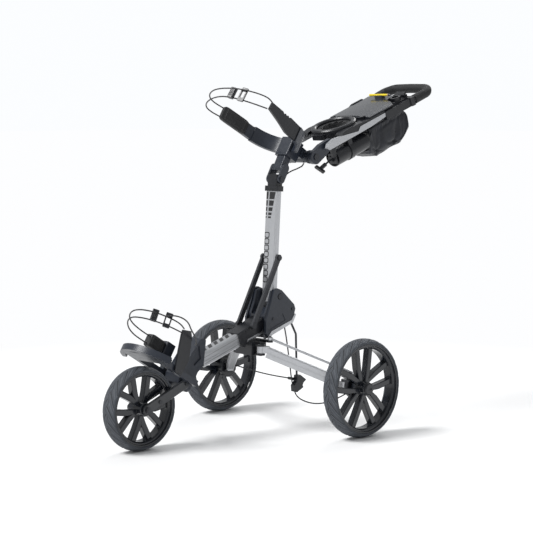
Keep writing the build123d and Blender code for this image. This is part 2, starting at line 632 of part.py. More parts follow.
def build_neck():
    """Forked neck between the mast's top and the upper cradle."""
    neck = block((-18, 18), (-13, 13), (30, NECK_LENGTH), 3)
    neck += block((-CHEEK_OUTSIDE, CHEEK_OUTSIDE), (-12, 12), (25, 42), 3)
    neck = place(NECK_FRAME, neck)
    upper = (NECK_PIVOT[0] + 0.4 * (NECK_TOP[0] - NECK_PIVOT[0]),
             NECK_PIVOT[1] + 0.4 * (NECK_TOP[1] - NECK_PIVOT[1]))
    for side in (1, -1):
        x_pair = sorted((side * CHEEK_INSIDE, side * CHEEK_OUTSIDE))
        neck += capsule_plate(NECK_PIVOT, upper, 13.5, *x_pair)
    neck -= x_rod(-CHEEK_OUTSIDE - 1, CHEEK_OUTSIDE + 1, *NECK_PIVOT, NECK_PIN + SHAFT_GAP)
    cable = cord_tube(HANDLE_CABLE, CABLE_RADIUS, "handle cable")
    save("neck", neck - cable)
    save("handle_cable", cable)


# ---- upper cradle and handle hinge ----------------------------------------------------------------
BAND_RADIUS = 97.7
BAND_THICK = 12.0
BAND_CENTRE = 22.3
HUB_BARREL = 18.0
BARREL_HALF = 50.0


def build_upper_cradle():
    """Curved cradle band on its hub, with a padded arm on the right and a notched arm on the left."""
    ring = Circle(BAND_RADIUS + BAND_THICK / 2) - Circle(BAND_RADIUS - BAND_THICK / 2)
    band = Pos(0, BAND_CENTRE, -24) * extrude(ring, 48)
    band -= block((-200, 200), (-200, 45), (-60, 60))
    band += block((-26, 26), (100, 150), (-38, 24), 4)
    arm = block((-7, 7), (-64, 12), (-20, 20))
    band += Pos(-99, 42, 0) * Rot(0, 0, -8) * Pos(0, -4, 0) * arm
    neck = place(NECK_FRAME, block((-18, 18), (-13, 13), (30, NECK_LENGTH), 3))
    bracket = place(UPPER_FRAME, band) - neck
    save("upper_bracket", bracket)

    cords = []
    for index, route in enumerate(UPPER_CORD_ROUTES):
        cords.append(cord_tube(route, CORD_RADIUS, f"upper cord {index}"))
    pad = block((-8, 8), (-100, 0), (-23, 23), 6)
    pad = chamfer(pad.edges().group_by(Axis.X)[-1], 3)
    pad = Pos(-96, 18, 0) * Rot(0, 0, -11) * pad
    for cord in cords:
        pad -= cord
    save("upper_pad", place(UPPER_FRAME, pad) - bracket)
    notched = [(50, -22), (50, 24), (-4, 27), (-8, 22), (-16, 27), (-20, 22), (-28, 26), (-32, 21),
               (-40, 26), (-90, 25), (-92, 2), (-40, -10), (0, -22)]
    arm = side_plate(notched, 90, 98)
    for cord in cords:
        arm -= cord
    save("strap_arm", place(UPPER_FRAME, arm) - bracket)
    save("upper_clasp", *place(UPPER_FRAME, *strap_clasp((-6, -160, 14.5), (28, -149, 15.5), 20, 4, cords)))
    save("upper_cords", *place(UPPER_FRAME, *cords))


def build_hinge():
    """Toothed hinge barrel behind the cradle and the pin that the handle turns on."""
    barrel = x_rod(-BARREL_HALF, BARREL_HALF, *HINGE, HUB_BARREL)
    for index in range(16):
        tooth = Rot(360 / 16 * index, 0, 0) * Pos(0, HUB_BARREL + 0.5, 0) * Box(8, 4, 3.4)
        for side in (1, -1):
            barrel += Pos(side * (BARREL_HALF - 6), *HINGE) * tooth
    web = place(UPPER_FRAME, block((-26, 26), (150, 172), (-16, 16)))
    barrel += web
    pin = x_rod(-71, 71, *HINGE, HINGE_PIN)
    for side in (1, -1):
        pin += x_rod(side * 70.5, side * 73, *HINGE, 10)
    for point, following in zip(HANDLE_CABLE, HANDLE_CABLE[1:]):
        barrel -= rod(point, following, CABLE_RADIUS + 1)
    save("hinge_barrel", barrel - pin)
    save("hinge_pin", pin)


# ---- handle ---------------------------------------------------------------------------------------
RAIL_INSIDE = 78.0
RAIL_OUTSIDE = 90.0
ARM_END = 76.0
RAIL_END = 318.0
RAIL_TOP = [(110, 27), (182, 15), (197, 26), (RAIL_END, 26)]
RING_MIDDLE = 173.0
RING_OUTER = 72.0
RING_INNER = 55.0
RING_LOW = 14.0
RING_HIGH = 44.0
BIN_TOP = 32.0
BIN_END = 440.0
LID_HALF = 83.5
LID_HINGE = (244.0, 37.0)
LID_PIN = 2.5
TEE_RING = (56.0, 414.0)
LEVER_AXLE = (449.0, 35.0)
PENCIL = (415.0, 50.5)
PENCIL_RADIUS = 3.75
TUBE_X = 44.0
TUBE_DROP = -40.0
TUBE_RADIUS = 27.5
SCREW_TILT = 11.0
SCREW_START = 84.0
KNOB_TURN = -38.0
GRIP_TUBE = 9.0
GRIP_FOAM = 15.0
GRIP_ROUTE = [(86, 444, 17), (89, 528, 19), (68, 557, 21), (0, 561, 21), (-68, 557, 21), (-89, 528, 19),
              (-86, 444, 17)]
GRIP_RADII = [30, 30, 200, 30, 30]


def build_handle_sides():
    """Hinge arms and the silver rails that carry the console."""
    arms = []
    for side in (1, -1):
        inner = sorted((side * 56, side * 70))
        outer = sorted((side * 56, side * RAIL_INSIDE))
        arm = side_plate([(-10, 18), (30, 29), (ARM_END, 31), (ARM_END, 2), (40, -12), (10, -20)], *inner)
        arm += x_rod(side * 56, side * 70, 0, 0, 22)
        arm += side_plate([(46, 25), (ARM_END, 30), (ARM_END, 8), (52, 6)], *outer)
        arm -= x_rod(-80, 80, 0, 0, HINGE_PIN + SHAFT_GAP)
        arms.append(place(HANDLE_FRAME, arm))
    save("hinge_arms", *arms)
    outline = [(36, 14), (45, 25), (76, 31), *RAIL_TOP, (RAIL_END, 14), (243, 8), (180, 7), (46, 6)]
    rail = side_plate(outline, RAIL_INSIDE, RAIL_OUTSIDE)
    save("rails", place(HANDLE_FRAME, rail), place(HANDLE_FRAME, mirrored(rail)))


def build_console():
    """Cup ring, storage bin with its tee ring, and side plates that lie on the rails."""
    ring = Circle(RING_OUTER) - Circle(RING_INNER)
    console = Pos(0, RING_MIDDLE, RING_LOW) * extrude(ring, RING_HIGH - RING_LOW)
    console = chamfer(console.edges().group_by(Axis.Z)[-1], 4)
    console += block((-22, 22), (90, 106), (18, 34), 4)
    over_rail = [*RAIL_TOP, (RAIL_END, BIN_TOP), (238, BIN_TOP), (226, 33), (150, 37), (118, 34)]
    for side in (1, -1):
        console += side_plate(over_rail, *sorted((side * 60, side * (RAIL_OUTSIDE - 2))))
    console -= Pos(0, RING_MIDDLE, 0) * extrude(Circle(RING_INNER), 60)
    bin_shell = block((-RAIL_INSIDE, RAIL_INSIDE), (228, BIN_END), (2, BIN_TOP))
    bin_shell -= block((4 - RAIL_INSIDE, RAIL_INSIDE - 4), (256, BIN_END - 6), (5, BIN_TOP + 1))
    bin_shell += block((28, RAIL_INSIDE - 3), (376, BIN_END - 5), (BIN_TOP - 4, BIN_TOP))
    console += bin_shell - Pos(0, RING_MIDDLE, 0) * extrude(Circle(RING_OUTER - 8), 60)
    console += Pos(*TEE_RING, 4) * extrude(Circle(17), 40)
    console -= Pos(*TEE_RING, 8) * extrude(Circle(11), 40)
    for side in (1, -1):
        console += block(sorted((side * 58.4, side * 66)), (238, 250), (28, 41))
    console -= x_rod(-67, 67, *LID_HINGE, LID_PIN + SHAFT_GAP)
    save("console", place(HANDLE_FRAME, console))

    gasket = Circle(RING_INNER)
    star = []
    for index in range(24):
        reach = (49, 33)[index % 2]
        turn = radians(15 * index)
        star.append((reach * cos(turn), reach * sin(turn)))
    gasket -= make_face(Polyline(*star, close=True))
    gasket = Pos(0, RING_MIDDLE, RING_HIGH - 12) * extrude(gasket, 3)
    save("cup_gasket", place(HANDLE_FRAME, gasket))


def build_rear_yoke():
    """Black yoke behind the bin: side blocks, cross block with the lever's ears, and a catch."""
    yoke = block((-98, 98), (BIN_END, BIN_END + 20), (3, 31), 5)
    for side in (1, -1):
        yoke += block(sorted((side * RAIL_INSIDE, side * 92)), (RAIL_END, BIN_END + 6), (3, 28))
    yoke += side_plate([(350, 27), (350, 33), (364, 38), (414, 38), (420, 27)], -92, -LID_HALF - 1.5)
    for low, high in ((20, 26), (66, 72)):
        yoke += block((low, high), (LEVER_AXLE[0] - 5, LEVER_AXLE[0] + 5), (28, 39.5))
    yoke -= x_rod(22, 70, *LEVER_AXLE, LID_PIN + SHAFT_GAP)
    grip_path = grip_line(0)
    yoke -= sweep(Plane(origin=grip_path @ 0, z_dir=grip_path % 0) * Circle(GRIP_TUBE), path=grip_path)
    save("rear_yoke", place(HANDLE_FRAME, yoke))


def grip_line(start):
    """Loop of the grip; start cuts that much off both ends."""
    first = Vector(*GRIP_ROUTE[0])
    along = (Vector(*GRIP_ROUTE[1]) - first).normalized()
    begin = first + along * start
    points = [(begin.X, begin.Y, begin.Z), *GRIP_ROUTE[1:-1], (-begin.X, begin.Y, begin.Z)]
    return FilletPolyline(*points, radius=GRIP_RADII)


def build_grip():
    """Aluminium loop and the foam sleeve on it."""
    inner_path = grip_line(0)
    outer_path = grip_line(18)
    tube = sweep(Plane(origin=inner_path @ 0, z_dir=inner_path % 0) * Circle(GRIP_TUBE), path=inner_path)
    foam = sweep(Plane(origin=outer_path @ 0, z_dir=outer_path % 0) * Circle(GRIP_FOAM), path=outer_path)
    save("grip_tube", place(HANDLE_FRAME, tube))
    save("grip_foam", place(HANDLE_FRAME, foam - tube))


def build_lid():
    """Crowned lid of the storage bin, cut away round the tee ring, its pencil clip and the pencil."""
    edge_low = BIN_TOP + 0.4
    edge_high = BIN_TOP + 4
    crown = make_face([
        Polyline((-LID_HALF, edge_high), (-LID_HALF, edge_low), (LID_HALF, edge_low), (LID_HALF, edge_high)),
        ThreePointArc((LID_HALF, edge_high), (0, 41), (-LID_HALF, edge_high))])
    lid = Pos(0, 250, 0) * extrude(Plane.XZ * crown, -188)
    corner = [(90, 362), (84, 364), (58, 386), (38, 394), (32, 404), (30, 440), (90, 440)]
    lid -= Pos(0, 0, 30) * extrude(make_face(Polyline(*corner, close=True)), 20)
    for side in (1, -1):
        lid -= block(sorted((side * 57.9, side * 66.5)), (249, 256), (30, 45))
        lid += block(sorted((side * 48, side * 57)), (242, 254), (34.5, 39.5))
    lid += x_rod(-65, 65, *LID_HINGE, LID_PIN)
    lid += block((-24, 6), (PENCIL[0] - 8, PENCIL[0] + 8), (39, PENCIL[1]))
    pencil = x_rod(-50, 30, *PENCIL, PENCIL_RADIUS)
    tip = Pos(30, *PENCIL) * Rot(0, 90, 0) * Cone(PENCIL_RADIUS, 0.8, 8, align=(Align.CENTER, Align.CENTER, Align.MIN))
    pencil += tip
    lid -= x_rod(-52, 31, *PENCIL, PENCIL_RADIUS)
    save("bin_lid", place(HANDLE_FRAME, lid))
    save("pencil", place(HANDLE_FRAME, pencil))


def build_lever():
    """Small parking-brake lever between two ears on the rear yoke."""
    lever = side_plate([(445.5, 31.8), (451, 32.2), (454, 36), (462, 44), (458, 47), (446, 39)], 27, 65)
    lever += x_rod(22.5, 69.5, *LEVER_AXLE, LID_PIN)
    save("brake_lever", place(HANDLE_FRAME, lever))


def build_under_console():
    """Accessory bag, umbrella tube with its strap and end bracket, and the clamp screw."""
    bag = side_plate([(262, 1.5), (446, 1.5), (458, -28), (456, -60), (438, -92), (400, -106), (300, -108),
                      (262, -98), (246, -82), (256, -40)], -66, 66)
    save("accessory_bag", place(HANDLE_FRAME, bag))
    axis_frame = Pos(TUBE_X, 0, TUBE_DROP)
    tube = axis_frame * (rod((0, 92, 0), (0, 240, 0), TUBE_RADIUS) - rod((0, 91, 0), (0, 236, 0), TUBE_RADIUS - 3))
    save("umbrella_tube", place(HANDLE_FRAME, tube))
    strap = axis_frame * rod((0, 152, 0), (0, 170, 0), TUBE_RADIUS + 2.5)
    strap += block((56, 66), (152, 170), (TUBE_DROP + 14, RING_LOW))
    strap -= axis_frame * rod((0, 149, 0), (0, 173, 0), TUBE_RADIUS)
    plate = block((TUBE_X - 12, TUBE_X + 22), (86, 92), (TUBE_DROP - 17, TUBE_DROP + 16), 2)
    plate += block((56, 66), (ARM_END, 92), (TUBE_DROP + 8, 12))
    plate += block((TUBE_X - 8, TUBE_X + 8), (SCREW_START - 4, 88), (TUBE_DROP - 8, TUBE_DROP + 8))
    screw_at = Pos(TUBE_X, SCREW_START, TUBE_DROP) * Rot(90 + SCREW_TILT, 0, 0)
    plate -= screw_at * Pos(0, 0, -12) * extrude(Circle(3 + SHAFT_GAP), 40)
    save("tube_bracket", *place(HANDLE_FRAME, plate, strap))
    screw = extrude(Circle(3), 44) + Pos(0, 0, 36) * extrude(Circle(6.5), 24)
    screw += Pos(0, 0, 60) * Rot(0, 0, KNOB_TURN) * extrude(SlotOverall(36, 10), 8)
    screw = screw_at * Pos(0, 0, -6) * screw
    save("clamp_screw", place(HANDLE_FRAME, screw))


def build_all():
    """Build and save every sub-part."""
    build_wheels()
    build_lower_tube()
    build_front_bracket()
    build_fork()
    build_platform()
    build_lower_arms()
    build_hub()
    build_collar()
    build_leg()
    build_tie()
    build_leg_mount()
    build_carrier()
    build_brakes()
    build_mast()
    build_struts()
    build_neck()
    build_upper_cradle()
    build_hinge()
    build_handle_sides()
    build_console()
    build_rear_yoke()
    build_grip()
    build_lid()
    build_lever()
    build_under_console()


build_all()
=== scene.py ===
"""A folding golf push trolley: camera, strap cords, soft goods, printed marks and every finish.

Lengths are in metres. +X is the trolley's left, -Y its front and +Z up. Pieces that follow a part
of the trolley are worked out in that part's own axes: x across, along the part, and up from it.
"""

from math import cos, pi, radians, sin

import bpy
import numpy as np
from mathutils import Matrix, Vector


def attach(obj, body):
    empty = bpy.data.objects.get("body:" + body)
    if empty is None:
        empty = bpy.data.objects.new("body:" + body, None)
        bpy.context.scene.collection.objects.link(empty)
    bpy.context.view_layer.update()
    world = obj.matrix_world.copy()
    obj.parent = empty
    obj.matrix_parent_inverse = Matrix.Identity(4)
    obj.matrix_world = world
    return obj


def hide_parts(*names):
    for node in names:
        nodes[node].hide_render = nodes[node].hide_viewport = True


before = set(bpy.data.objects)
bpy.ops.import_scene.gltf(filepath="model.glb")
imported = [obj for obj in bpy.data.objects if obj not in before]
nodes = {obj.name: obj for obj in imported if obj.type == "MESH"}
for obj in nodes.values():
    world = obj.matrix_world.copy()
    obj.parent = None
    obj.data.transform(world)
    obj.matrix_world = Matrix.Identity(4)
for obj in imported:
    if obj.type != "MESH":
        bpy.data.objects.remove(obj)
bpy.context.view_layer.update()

# ---- the parts' own axes -------------------------------------------------------------------------
# origin (y, z) of each set of axes, and how far it is turned up from level, in degrees
REAR_AXLE_Y = 0.068
AXES = {
    "bag": ((-0.520 + REAR_AXLE_Y, 0.235), -32.0),
    "tube": ((-0.300 + REAR_AXLE_Y, 0.256), 18.0),
    "mast": ((-0.080 + REAR_AXLE_Y, 0.401), -3.6),
    "handle": ((0.050 + REAR_AXLE_Y, 0.817), 20.0),
}
UPPER_CRADLE = 0.797


def placed(part, points):
    """World places of (x, along, up) points given in a part's own axes: a turn about x, then a shift."""
    (y, z), turn = AXES[part]
    points = np.asarray(points, dtype=float)
    c = cos(radians(turn))
    s = sin(radians(turn))
    across = points[..., 0]
    along = points[..., 1]
    up = points[..., 2]
    return np.stack([across, y + along * c - up * s, z + along * s + up * c], axis=-1)


# ---- camera --------------------------------------------------------------------------------------
CAMERA_TARGET = Vector((-0.005, -0.019, 0.489))
CAMERA_DISTANCE = 5.0
CAMERA_TURN = 45.6
CAMERA_RISE = 5.38
CAMERA_SENSOR = 36.0
CAMERA_LENS = 112.05


def make_camera():
    """Long lens, slightly above the wheels, looking at the trolley's front left."""
    data = bpy.data.cameras.new("camera")
    data.sensor_width = CAMERA_SENSOR
    data.lens = CAMERA_LENS
    camera = bpy.data.objects.new("camera", data)
    bpy.context.scene.collection.objects.link(camera)
    turn = radians(CAMERA_TURN)
    rise = radians(CAMERA_RISE)
    back = Vector((sin(turn) * cos(rise), -cos(turn) * cos(rise), sin(rise)))
    camera.location = CAMERA_TARGET + CAMERA_DISTANCE * back
    camera.rotation_euler = back.to_track_quat("Z", "Y").to_euler()
    bpy.context.scene.camera = camera


make_camera()

# ---- node helpers --------------------------------------------------------------------------------


class Nodes:
    """Short hand for building a node tree: each call adds one node and wires its inputs."""

    def __init__(self, tree):
        self.tree = tree

    def add(self, kind, inputs=None, **settings):
        """Add a node. inputs maps socket names or places to values or to other nodes' outputs."""
        node = self.tree.nodes.new(kind)
        for name, value in settings.items():
            setattr(node, name, value)
        for key, value in (inputs or {}).items():
            socket = node.inputs[key]
            if isinstance(value, bpy.types.NodeSocket):
                self.tree.links.new(value, socket)
            else:
                socket.default_value = value
        return node

    def math(self, operation, first, second=0.0, clamp=False):
        """One Math node's result."""
        node = self.add("ShaderNodeMath", {0: first, 1: second}, operation=operation, use_clamp=clamp)
        return node.outputs[0]

    def ramp(self, value, stops):
        """Linear step between two values of one input, as 0 to 1."""
        low, high = stops
        node = self.add("ShaderNodeMapRange", {0: value, 1: low, 2: high, 3: 0.0, 4: 1.0})
        return node.outputs[0]

    def mix(self, factor, first, second):
        """Mix of two colours."""
        node = self.add("ShaderNodeMix", data_type="RGBA")
        for index, value in ((0, factor), (6, first), (7, second)):
            if isinstance(value, bpy.types.NodeSocket):
                self.tree.links.new(value, node.inputs[index])
            else:
                node.inputs[index].default_value = value
        return node.outputs[2]

    def noise(self, place, scale, detail=3.0, roughness=0.5):
        """Fractal noise, 0 to 1."""
        node = self.add("ShaderNodeTexNoise",
                        {"Vector": place, "Scale": scale, "Detail": detail, "Roughness": roughness})
        return node.outputs[0]


def new_group(name, inputs, outputs):
    """Empty shader node group with named sockets; gives its builder, its inputs and its output node."""
    tree = bpy.data.node_groups.new(name, "ShaderNodeTree")
    for label, kind, value in inputs:
        socket = tree.interface.new_socket(name=label, in_out="INPUT", socket_type=kind)
        if value is not None:
            socket.default_value = value
    for label, kind in outputs:
        tree.interface.new_socket(name=label, in_out="OUTPUT", socket_type=kind)
    build = Nodes(tree)
    source = tree.nodes.new("NodeGroupInput")
    sink = tree.nodes.new("NodeGroupOutput")
    return build, source.outputs, sink.inputs


FLOAT = "NodeSocketFloat"
VECTOR = "NodeSocketVector"
COLOUR = "NodeSocketColor"


def make_surface_group():
    """Moulded or cast skin: tone that drifts over the piece, handling marks and a fine grain."""
    build, given, out = new_group(
        "surface", [("Place", VECTOR, None), ("Tone", COLOUR, (0.1, 0.1, 0.1, 1)), ("Grain", FLOAT, 900.0),
                    ("Depth", FLOAT, 0.15), ("Rough", FLOAT, 0.45), ("Wear", FLOAT, 0.1),
                    ("Round", FLOAT, 0.0008)],
        [("Color", COLOUR), ("Roughness", FLOAT), ("Normal", VECTOR)])
    drift = build.noise(given["Place"], 9.0, 4.0)
    marks = build.noise(given["Place"], 60.0, 6.0, 0.7)
    grain = build.noise(given["Place"], given["Grain"], 2.0)
    drift = build.ramp(drift, (0.3, 0.7))
    worn = build.math("MULTIPLY", build.ramp(marks, (0.52, 0.78)), given["Wear"])
    lift = build.add("ShaderNodeHueSaturation", {"Value": 1.35, "Color": given["Tone"]}).outputs[0]
    tone = build.mix(build.math("MULTIPLY", drift, 0.35), given["Tone"], lift)
    pale = build.mix(worn, tone, (0.35, 0.35, 0.36, 1))
    build.tree.links.new(pale, out["Color"])
    uneven = build.math("MULTIPLY", build.math("SUBTRACT", marks, 0.5), 0.25)
    rough = build.math("ADD", given["Rough"], uneven)
    rough = build.math("ADD", rough, build.math("MULTIPLY", worn, 0.3), clamp=True)
    build.tree.links.new(rough, out["Roughness"])
    edge = build.add("ShaderNodeBevel", {"Radius": given["Round"]}, samples=4)
    bump = build.add("ShaderNodeBump", {"Strength": given["Depth"], "Distance": 0.0004, "Height": grain,
                                        "Normal": edge.outputs[0]})
    build.tree.links.new(bump.outputs[0], out["Normal"])
    return build.tree


def make_brushed_group():
    """Drawn metal: long fine lines along one axis, faint smudges, softened edges."""
    build, given, out = new_group(
        "brushed", [("Place", VECTOR, None), ("Tone", COLOUR, (0.7, 0.7, 0.7, 1)), ("Rough", FLOAT, 0.35),
                    ("Depth", FLOAT, 0.08), ("Round", FLOAT, 0.0006)],
        [("Color", COLOUR), ("Roughness", FLOAT), ("Normal", VECTOR)])
    lines = build.noise(given["Place"], 1.0, 3.0)
    smudge = build.noise(given["Place"], 0.05, 4.0, 0.6)
    spread = build.math("MULTIPLY", build.math("SUBTRACT", lines, 0.5), 0.18)
    rough = build.math("ADD", given["Rough"], spread)
    smeared = build.math("MULTIPLY", build.ramp(smudge, (0.45, 0.75)), 0.12)
    rough = build.math("ADD", rough, smeared, clamp=True)
    build.tree.links.new(rough, out["Roughness"])
    darker = build.add("ShaderNodeHueSaturation", {"Value": 0.86, "Color": given["Tone"]}).outputs[0]
    tone = build.mix(build.ramp(lines, (0.35, 0.65)), darker, given["Tone"])
    build.tree.links.new(tone, out["Color"])
    edge = build.add("ShaderNodeBevel", {"Radius": given["Round"]}, samples=4)
    bump = build.add("ShaderNodeBump", {"Strength": given["Depth"], "Distance": 0.0002, "Height": lines,
                                        "Normal": edge.outputs[0]})
    build.tree.links.new(bump.outputs[0], out["Normal"])
    return build.tree


SURFACE = make_surface_group()
BRUSHED = make_brushed_group()


def new_material(name):
    """Empty material: its node builder and its Principled shader."""
    material = bpy.data.materials.new(name)
    material.use_nodes = True
    build = Nodes(material.node_tree)
    shader = next(node for node in material.node_tree.nodes if node.type == "BSDF_PRINCIPLED")
    return material, build, shader


def object_place(build, turn=0.0, scale=(1.0, 1.0, 1.0)):
    """Object coordinates, turned about x by degrees and then scaled."""
    place = build.add("ShaderNodeTexCoord").outputs["Object"]
    mapping = build.add("ShaderNodeMapping",
                        {"Vector": place, "Rotation": (radians(turn), 0, 0), "Scale": scale})
    return mapping.outputs[0]


def part_place(build, part):
    """Coordinates in a part's own axes: the turn and shift of placed(), undone."""
    (y, z), turn = AXES[part]
    c = cos(radians(turn))
    s = sin(radians(turn))
    place = build.add("ShaderNodeTexCoord").outputs["Object"]
    shift = (0.0, -(y * c + z * s), y * s - z * c)
    mapping = build.add("ShaderNodeMapping",
                        {"Vector": place, "Rotation": (radians(-turn), 0, 0), "Location": shift})
    return mapping.outputs[0]


def wire(build, shader, group):
    """Lead a surface group's colour, roughness and normal to the shader."""
    build.tree.links.new(group.outputs["Color"], shader.inputs["Base Color"])
    build.tree.links.new(group.outputs["Roughness"], shader.inputs["Roughness"])
    build.tree.links.new(group.outputs["Normal"], shader.inputs["Normal"])


def moulded(name, tone, rough, grain=900.0, depth=0.15, wear=0.1, coat=0.0, rounding=0.0008, specular=0.5):
    """Plastic or rubber with a grained, slightly handled skin."""
    material, build, shader = new_material(name)
    settings = {"Place": object_place(build), "Tone": (*tone, 1.0), "Grain": grain, "Depth": depth,
                "Rough": rough, "Wear": wear, "Round": rounding}
    group = build.add("ShaderNodeGroup", settings, node_tree=SURFACE)
    wire(build, shader, group)
    shader.inputs["Coat Weight"].default_value = coat
    shader.inputs["Coat Roughness"].default_value = 0.12
    shader.inputs["Specular IOR Level"].default_value = specular
    return material


LINE_FINENESS = 1800.0
LINE_LENGTH_SCALE = 12.0
PRINT_AND_SHADE_BLACK = (0.012, 0.0125, 0.014, 1)


def drawn_metal(name, tone, rough, turn, along_axis, metallic=1.0, part=None, print_and_shade_mask=None):
    """Extruded or bar metal whose fine lines run along one axis after a turn about x, with black print,
    and on the lower tube painted shade in its side grooves, where a mask worked out in the part's own axes
    is 1."""
    material, build, shader = new_material(name)
    scale = [LINE_FINENESS, LINE_FINENESS, LINE_FINENESS]
    scale[along_axis] = LINE_LENGTH_SCALE
    settings = {"Place": object_place(build, turn, scale), "Tone": (*tone, 1.0), "Rough": rough}
    group = build.add("ShaderNodeGroup", settings, node_tree=BRUSHED)
    wire(build, shader, group)
    shader.inputs["Metallic"].default_value = metallic
    if print_and_shade_mask:
        split = build.add("ShaderNodeSeparateXYZ", {0: part_place(build, part)})
        mask = print_and_shade_mask(build, split.outputs["X"], split.outputs["Y"], split.outputs["Z"])
        # under the mask the colour goes black: print on the mast, and print plus painted groove shade on the
        # lower tube
        printed_or_shaded = build.mix(mask, group.outputs["Color"], PRINT_AND_SHADE_BLACK)
        build.tree.links.new(printed_or_shaded, shader.inputs["Base Color"])
        bare = build.math("MULTIPLY", build.math("SUBTRACT", 1.0, mask), metallic)
        build.tree.links.new(bare, shader.inputs["Metallic"])
    return material


def stripes(build, value, span, edges):
    """1 between each pair of edges along a value, 0 elsewhere; span is the range the edges lie in."""
    low, high = span
    ramp = build.add("ShaderNodeValToRGB", {0: build.ramp(value, span)})
    ramp.color_ramp.interpolation = "CONSTANT"
    stops = ramp.color_ramp.elements
    stops[0].color = (0, 0, 0, 1)
    stops.remove(stops[1])
    for index, edge in enumerate(edges):
        stop = stops.new((edge - low) / (high - low))
        stop.color = (0, 0, 0, 1) if index % 2 else (1, 1, 1, 1)
    return ramp.outputs[0]


def within(build, value, middle, half):
    """1 where a value is less than half away from a middle, either of which may vary."""
    gap = build.math("ABSOLUTE", build.math("SUBTRACT", value, middle))
    return build.math("LESS_THAN", gap, half)


# the printed and shaded faces' places, bars' edges up the mast, and the spacing of links and dashes, in
# metres
MAST_FACE = -0.0104
BARS = (0.2330, 0.2385, 0.2425, 0.2500, 0.2545, 0.2660, 0.2705, 0.2865, 0.2905, 0.3125)
LINKS_PER_METRE = 52.0
LINKS_MIDDLE = 0.115
LINKS_HALF = 0.0767
TUBE_TOP = 0.0192
TUBE_SIDE = 0.0214
DASHES_PER_METRE = 42.0
DASH_SLANT = 0.6


def mast_print(build, x, y, z):
    """Two columns of black bars that shrink downwards, and a chain of rounded links below them, on
    the mast's front face."""
    front = build.math("LESS_THAN", y, MAST_FACE)
    rows = stripes(build, z, (0.2, 0.34), BARS)
    grow = build.ramp(z, (0.232, 0.312))
    columns = 0.0
    for low, shift, narrow, widen in ((-0.004, 0.010, 0.0060, 0.0065), (-0.0195, 0.0020, 0.0035, 0.0030)):
        middle = build.math("ADD", build.math("MULTIPLY", grow, shift), low)
        half = build.math("ADD", build.math("MULTIPLY", grow, widen), narrow)
        columns = build.math("MAXIMUM", columns, within(build, x, middle, half))
    bars = build.math("MULTIPLY", rows, columns)
    along = build.math("FRACT", build.math("MULTIPLY", z, LINKS_PER_METRE))
    along = build.math("ABSOLUTE", build.math("MULTIPLY", build.math("SUBTRACT", along, 0.5), 2.0))
    across = build.math("ABSOLUTE", build.math("MULTIPLY", build.math("ADD", x, 0.0105), 88.0))
    reach = build.math("ADD", build.math("POWER", along, 4.0), build.math("POWER", across, 4.0))
    outside = build.math("GREATER_THAN", reach, 0.16)
    inside = build.math("LESS_THAN", reach, 0.80)
    ring = build.math("MULTIPLY", outside, inside)
    links = build.math("MULTIPLY", ring, within(build, z, LINKS_MIDDLE, LINKS_HALF))
    return build.math("MULTIPLY", front, build.math("MAXIMUM", bars, links))


def tube_print_and_shade(build, x, y, z):
    """Slanted black dashes along the lower tube's top face, and two thin lines of painted shade along each
    side where grooves are.
    """
    top = build.math("GREATER_THAN", z, TUBE_TOP)
    slanted = build.math("ADD", y, build.math("MULTIPLY", x, DASH_SLANT))
    step = build.math("FRACT", build.math("MULTIPLY", slanted, DASHES_PER_METRE))
    dash = build.math("LESS_THAN", step, 0.58)
    band = within(build, x, -0.004, 0.012)
    dashes = build.math("MULTIPLY", build.math("MULTIPLY", top, dash), band)
    # two thin dark lines on each side face: painted shade standing in for grooves
    side = build.math("GREATER_THAN", build.math("ABSOLUTE", x), TUBE_SIDE)
    painted_groove_shade = build.math("MAXIMUM", within(build, z, 0.0085, 0.0007), within(build, z, -0.0095, 0.0009))
    painted_groove_shade = build.math("MULTIPLY", build.math("MULTIPLY", side, painted_groove_shade), 0.6)
    return build.math("MAXIMUM", dashes, painted_groove_shade)


SILVER = (0.56, 0.57, 0.59)
SLATE = (0.019, 0.0235, 0.034)
BLACK = (0.0085, 0.0095, 0.0125)

materials = {
    "slate": moulded("slate_plastic", SLATE, 0.33, grain=1100, depth=0.2, wear=0.03, rounding=0.0014),
    "black": moulded("black_plastic", BLACK, 0.31, grain=1300, depth=0.2, wear=0.03, rounding=0.0012),
    "rim": moulded("rim_gloss", (0.0080, 0.0100, 0.0145), 0.22, grain=500, depth=0.05, wear=0.0, coat=0.35,
                   rounding=0.0030, specular=0.4),
    "rubber": moulded("pad_rubber", (0.014, 0.0145, 0.016), 0.62, grain=2200, depth=0.4, wear=0.08),
    "lid": moulded("lid_plastic", (0.030, 0.033, 0.040), 0.24, grain=2600, depth=0.03, wear=0.0, coat=0.4),
    "foam": moulded("grip_foam_skin", (0.012, 0.0125, 0.014), 0.72, grain=1400, depth=0.9, wear=0.12),
    "cable": moulded("cable_sleeve", (0.010, 0.010, 0.011), 0.38, grain=3000, depth=0.1, wear=0.02),
    "mast": drawn_metal("mast_silver", SILVER, 0.36, 3.6, 2, 0.85, "mast", mast_print),
    "tube": drawn_metal("tube_silver", SILVER, 0.36, -18.0, 1, 0.85, "tube", tube_print_and_shade),
    "rail": drawn_metal("rail_silver", SILVER, 0.36, -20.0, 1, 0.9),
    "leg": drawn_metal("leg_silver", SILVER, 0.36, 0.0, 0, 0.9),
    "dark_steel": drawn_metal("blacked_steel", (0.05, 0.052, 0.058), 0.36, 28.0, 2, 0.6),
    "fork": moulded("fork_paint", (0.022, 0.024, 0.028), 0.34, grain=1500, depth=0.12, wear=0.08, coat=0.2),
}


def dress(finish, *names):
    """Give CAD nodes one of the finishes."""
    for name in names:
        data = nodes[name].data
        data.materials.clear()
        data.materials.append(materials[finish])


